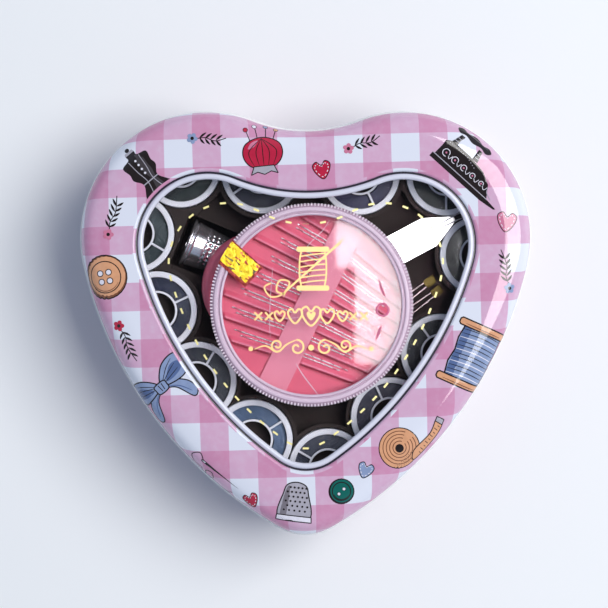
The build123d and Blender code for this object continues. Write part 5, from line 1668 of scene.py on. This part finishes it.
skin += [(CROWN - CROWN_BEND * (1 - math.cos(t)), side_top + CROWN_BEND * math.sin(t))
         for t in np.linspace(0.12, math.pi / 2, 14)]
skin += [(r, HEIGHT) for r in np.linspace(CROWN - CROWN_BEND - 0.0002, 0.0001, 16)]


def over_bend(z):
    """0 on the side of the thimble, 1 on its closed end."""
    return min(1, max(0, (z - side_top) / CROWN_BEND))


under = [(max(0.00005, r - THIMBLE_WALL), z - THIMBLE_WALL * over_bend(z))
         for r, z in skin[12::4]][::-1] + [(RIM_R - ROLL - THIMBLE_WALL, ROLL)]
print("thimble profile has", len(skin + under), "points")

# %% Dimpled thimble
bm = bmesh.new()
rings = lathe(bm, skin + under, [0] * (len(skin) + len(under)), steps=THIMBLE_STEPS)
run = np.concatenate([[0], np.cumsum([math.dist(a, b) for a, b in zip(skin, skin[1:])])])
for ring, (r, z), reach in zip(rings, skin, run):
    if z < DIMPLES_FROM:
        continue
    row = round((reach - DIMPLES_FROM) / DIMPLE_STEP)
    count = max(1, round(2 * math.pi * r / DIMPLE_STEP))
    off_row = (reach - DIMPLES_FROM) - row * DIMPLE_STEP
    steep = over_bend(z)
    for k, vert in enumerate(ring):
        share = k / THIMBLE_STEPS * count + 0.5 * (row % 2)
        off_side = (share - round(share)) * 2 * math.pi * r / count
        near = math.hypot(off_row, off_side) / DIMPLE_R
        if near < 1:
            push = DIMPLE_DEPTH * (1 - near ** 2)
            out = Vector((vert.co.x, vert.co.y, 0)).normalized()
            vert.co -= push * (out * (1 - steep) + Vector((0, 0, steep)))
print("thimble skin has", len(bm.verts), "points")

# %% Thimble in its pocket
thimble_low, thimble_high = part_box("thimble")
THIMBLE_X, THIMBLE_Y, THIMBLE_WAY = -0.0418, 0.0285, math.radians(-22)
lean = math.atan((RIM_R - CROWN) / HEIGHT)
spot = Vector((THIMBLE_X, THIMBLE_Y, thimble_low.z + RIM_R))
turn = Matrix.Rotation(THIMBLE_WAY, 4, "Z") @ Matrix.Rotation(math.pi / 2 + lean, 4, "Y")
bm.transform(Matrix.Translation(spot) @ turn)
drop = thimble_low.z - min(v.co.z for v in bm.verts)
bm.transform(Matrix.Translation((0, 0, drop)))
bmesh.ops.recalc_face_normals(bm, faces=bm.faces)
chrome = metal("chrome", (0.80, 0.79, 0.84), 0.12, 0.24, (300, 300, 300), 0.03)
finish(chrome.node_tree.nodes["Principled BSDF"], Metallic=0.88)
thimble = new_piece(bm, "thimble_dimpled", [chrome])
tall = max(v.co.z for v in thimble.data.vertices) - thimble_low.z
print("thimble lies", round(tall / MM, 1), "mm high, where the frame's is",
      round((thimble_high.z - thimble_low.z) / MM, 1))
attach(thimble, "tin_base")
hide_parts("thimble")

# %% [markdown]
# ## Wall of the tin
# The wall is pink lacquer with two white pin lines near the foot, and shows only from the
# side. The lines are bands of height, so they run level round the whole heart.

# %% Wall of the tin
WALL_LINES = ((0.0052, 0.0060), (0.0070, 0.0073))    # pin lines, from and to, above the table
LINE_WHITE = (0.74, 0.74, 0.86)
wall_pink, tree, shader = material("wall_lacquer")
calc = partial(math_node, tree)
place = node(tree, "ShaderNodeTexCoord").outputs["Object"]
height = node(tree, "ShaderNodeSeparateXYZ", {0: place}).outputs["Z"]
ink = cloudy(tree, 300, 4, (0.47, 0.20, 0.32), (0.60, 0.29, 0.42), place)
for low, high in WALL_LINES:
    over, below = calc("GREATER_THAN", height, low), calc("LESS_THAN", height, high)
    ink = mixed(tree, calc("MULTIPLY", over, below), ink, LINE_WHITE)
finish(shader, Base_Color=ink, Coat_Weight=0.9, Coat_Roughness=0.07)
uneven(tree, shader, 900, 0.2, 0.34, 0.05)
dress(wall_pink, "base_wall")
print("wall dressed")

# %% [markdown]
# ## Marks on the cover
# A clear cover that has been handled carries pale scratches, and two small red marks. They
# are drawn with the same pen as the print, and laid on the dome a hair above its skin.

# %% Marks and scratches on the cover
SCRATCH_LIFT = 0.00001
PALE, MARK = (0.80, 0.66, 0.74), (0.52, 0.085, 0.19)


def on_cover(spots, lift):
    """Lay points on the domed cover."""
    rise = [dome(x, y) for x, y in spots]
    return np.column_stack([spots, web + np.array(rise) + lift + SCRATCH_LIFT])


pen = Pen(on_cover, 0.0012)
for trace, width in (([(-3.3, -13.5), (-1.0, -17.4), (4.2, -24.2)], 0.30),
                     ([(8.2, 35.0), (5.6, 31.2), (1.4, 27.0), (0.4, 24.9), (2.4, 23.4),
                       (5.2, 22.7)], 0.20),
                     ([(-11.1, 19.0), (-11.7, 12.0), (-12.2, 2.0), (-12.0, -4.6)], 0.18),
                     ([(-14.0, 2.2), (-9.2, 1.4), (-2.0, 2.0)], 0.14)):
    pen.curve(trace, width, PALE, True)
for drop in ([(24.6, 15.6), (25.9, 11.8), (27.0, 9.2), (26.1, 9.6), (25.0, 12.0)],
             [(25.7, -1.2), (24.9, -3.8), (23.6, -5.8), (24.0, -3.4), (25.0, -1.2)]):
    pen.fill(smooth(drop), MARK)
marks = pen.done("cover_marks", ink_finish("cover_scratch", 0.3, 0.3))
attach(marks, "needle_cover")

# %% [markdown]
# ## Flags
# A flag is a dark card that is hung between a lamp and what the lamp must not touch. Light
# linking does the same: the two ceiling lamps are for the clear plastics, so the printed
# lid and the heads of the pins are set apart from them and keep their colours.

# %% Flags
flagged = bpy.data.collections.new("flagged")
for piece in (lid, picture, nodes["safety_pin_heads"]):
    flagged.objects.link(piece)
for row in flagged.collection_objects:
    row.light_linking.link_state = "EXCLUDE"
for lamp in ceiling_lamps:
    lamp.light_linking.receiver_collection = flagged
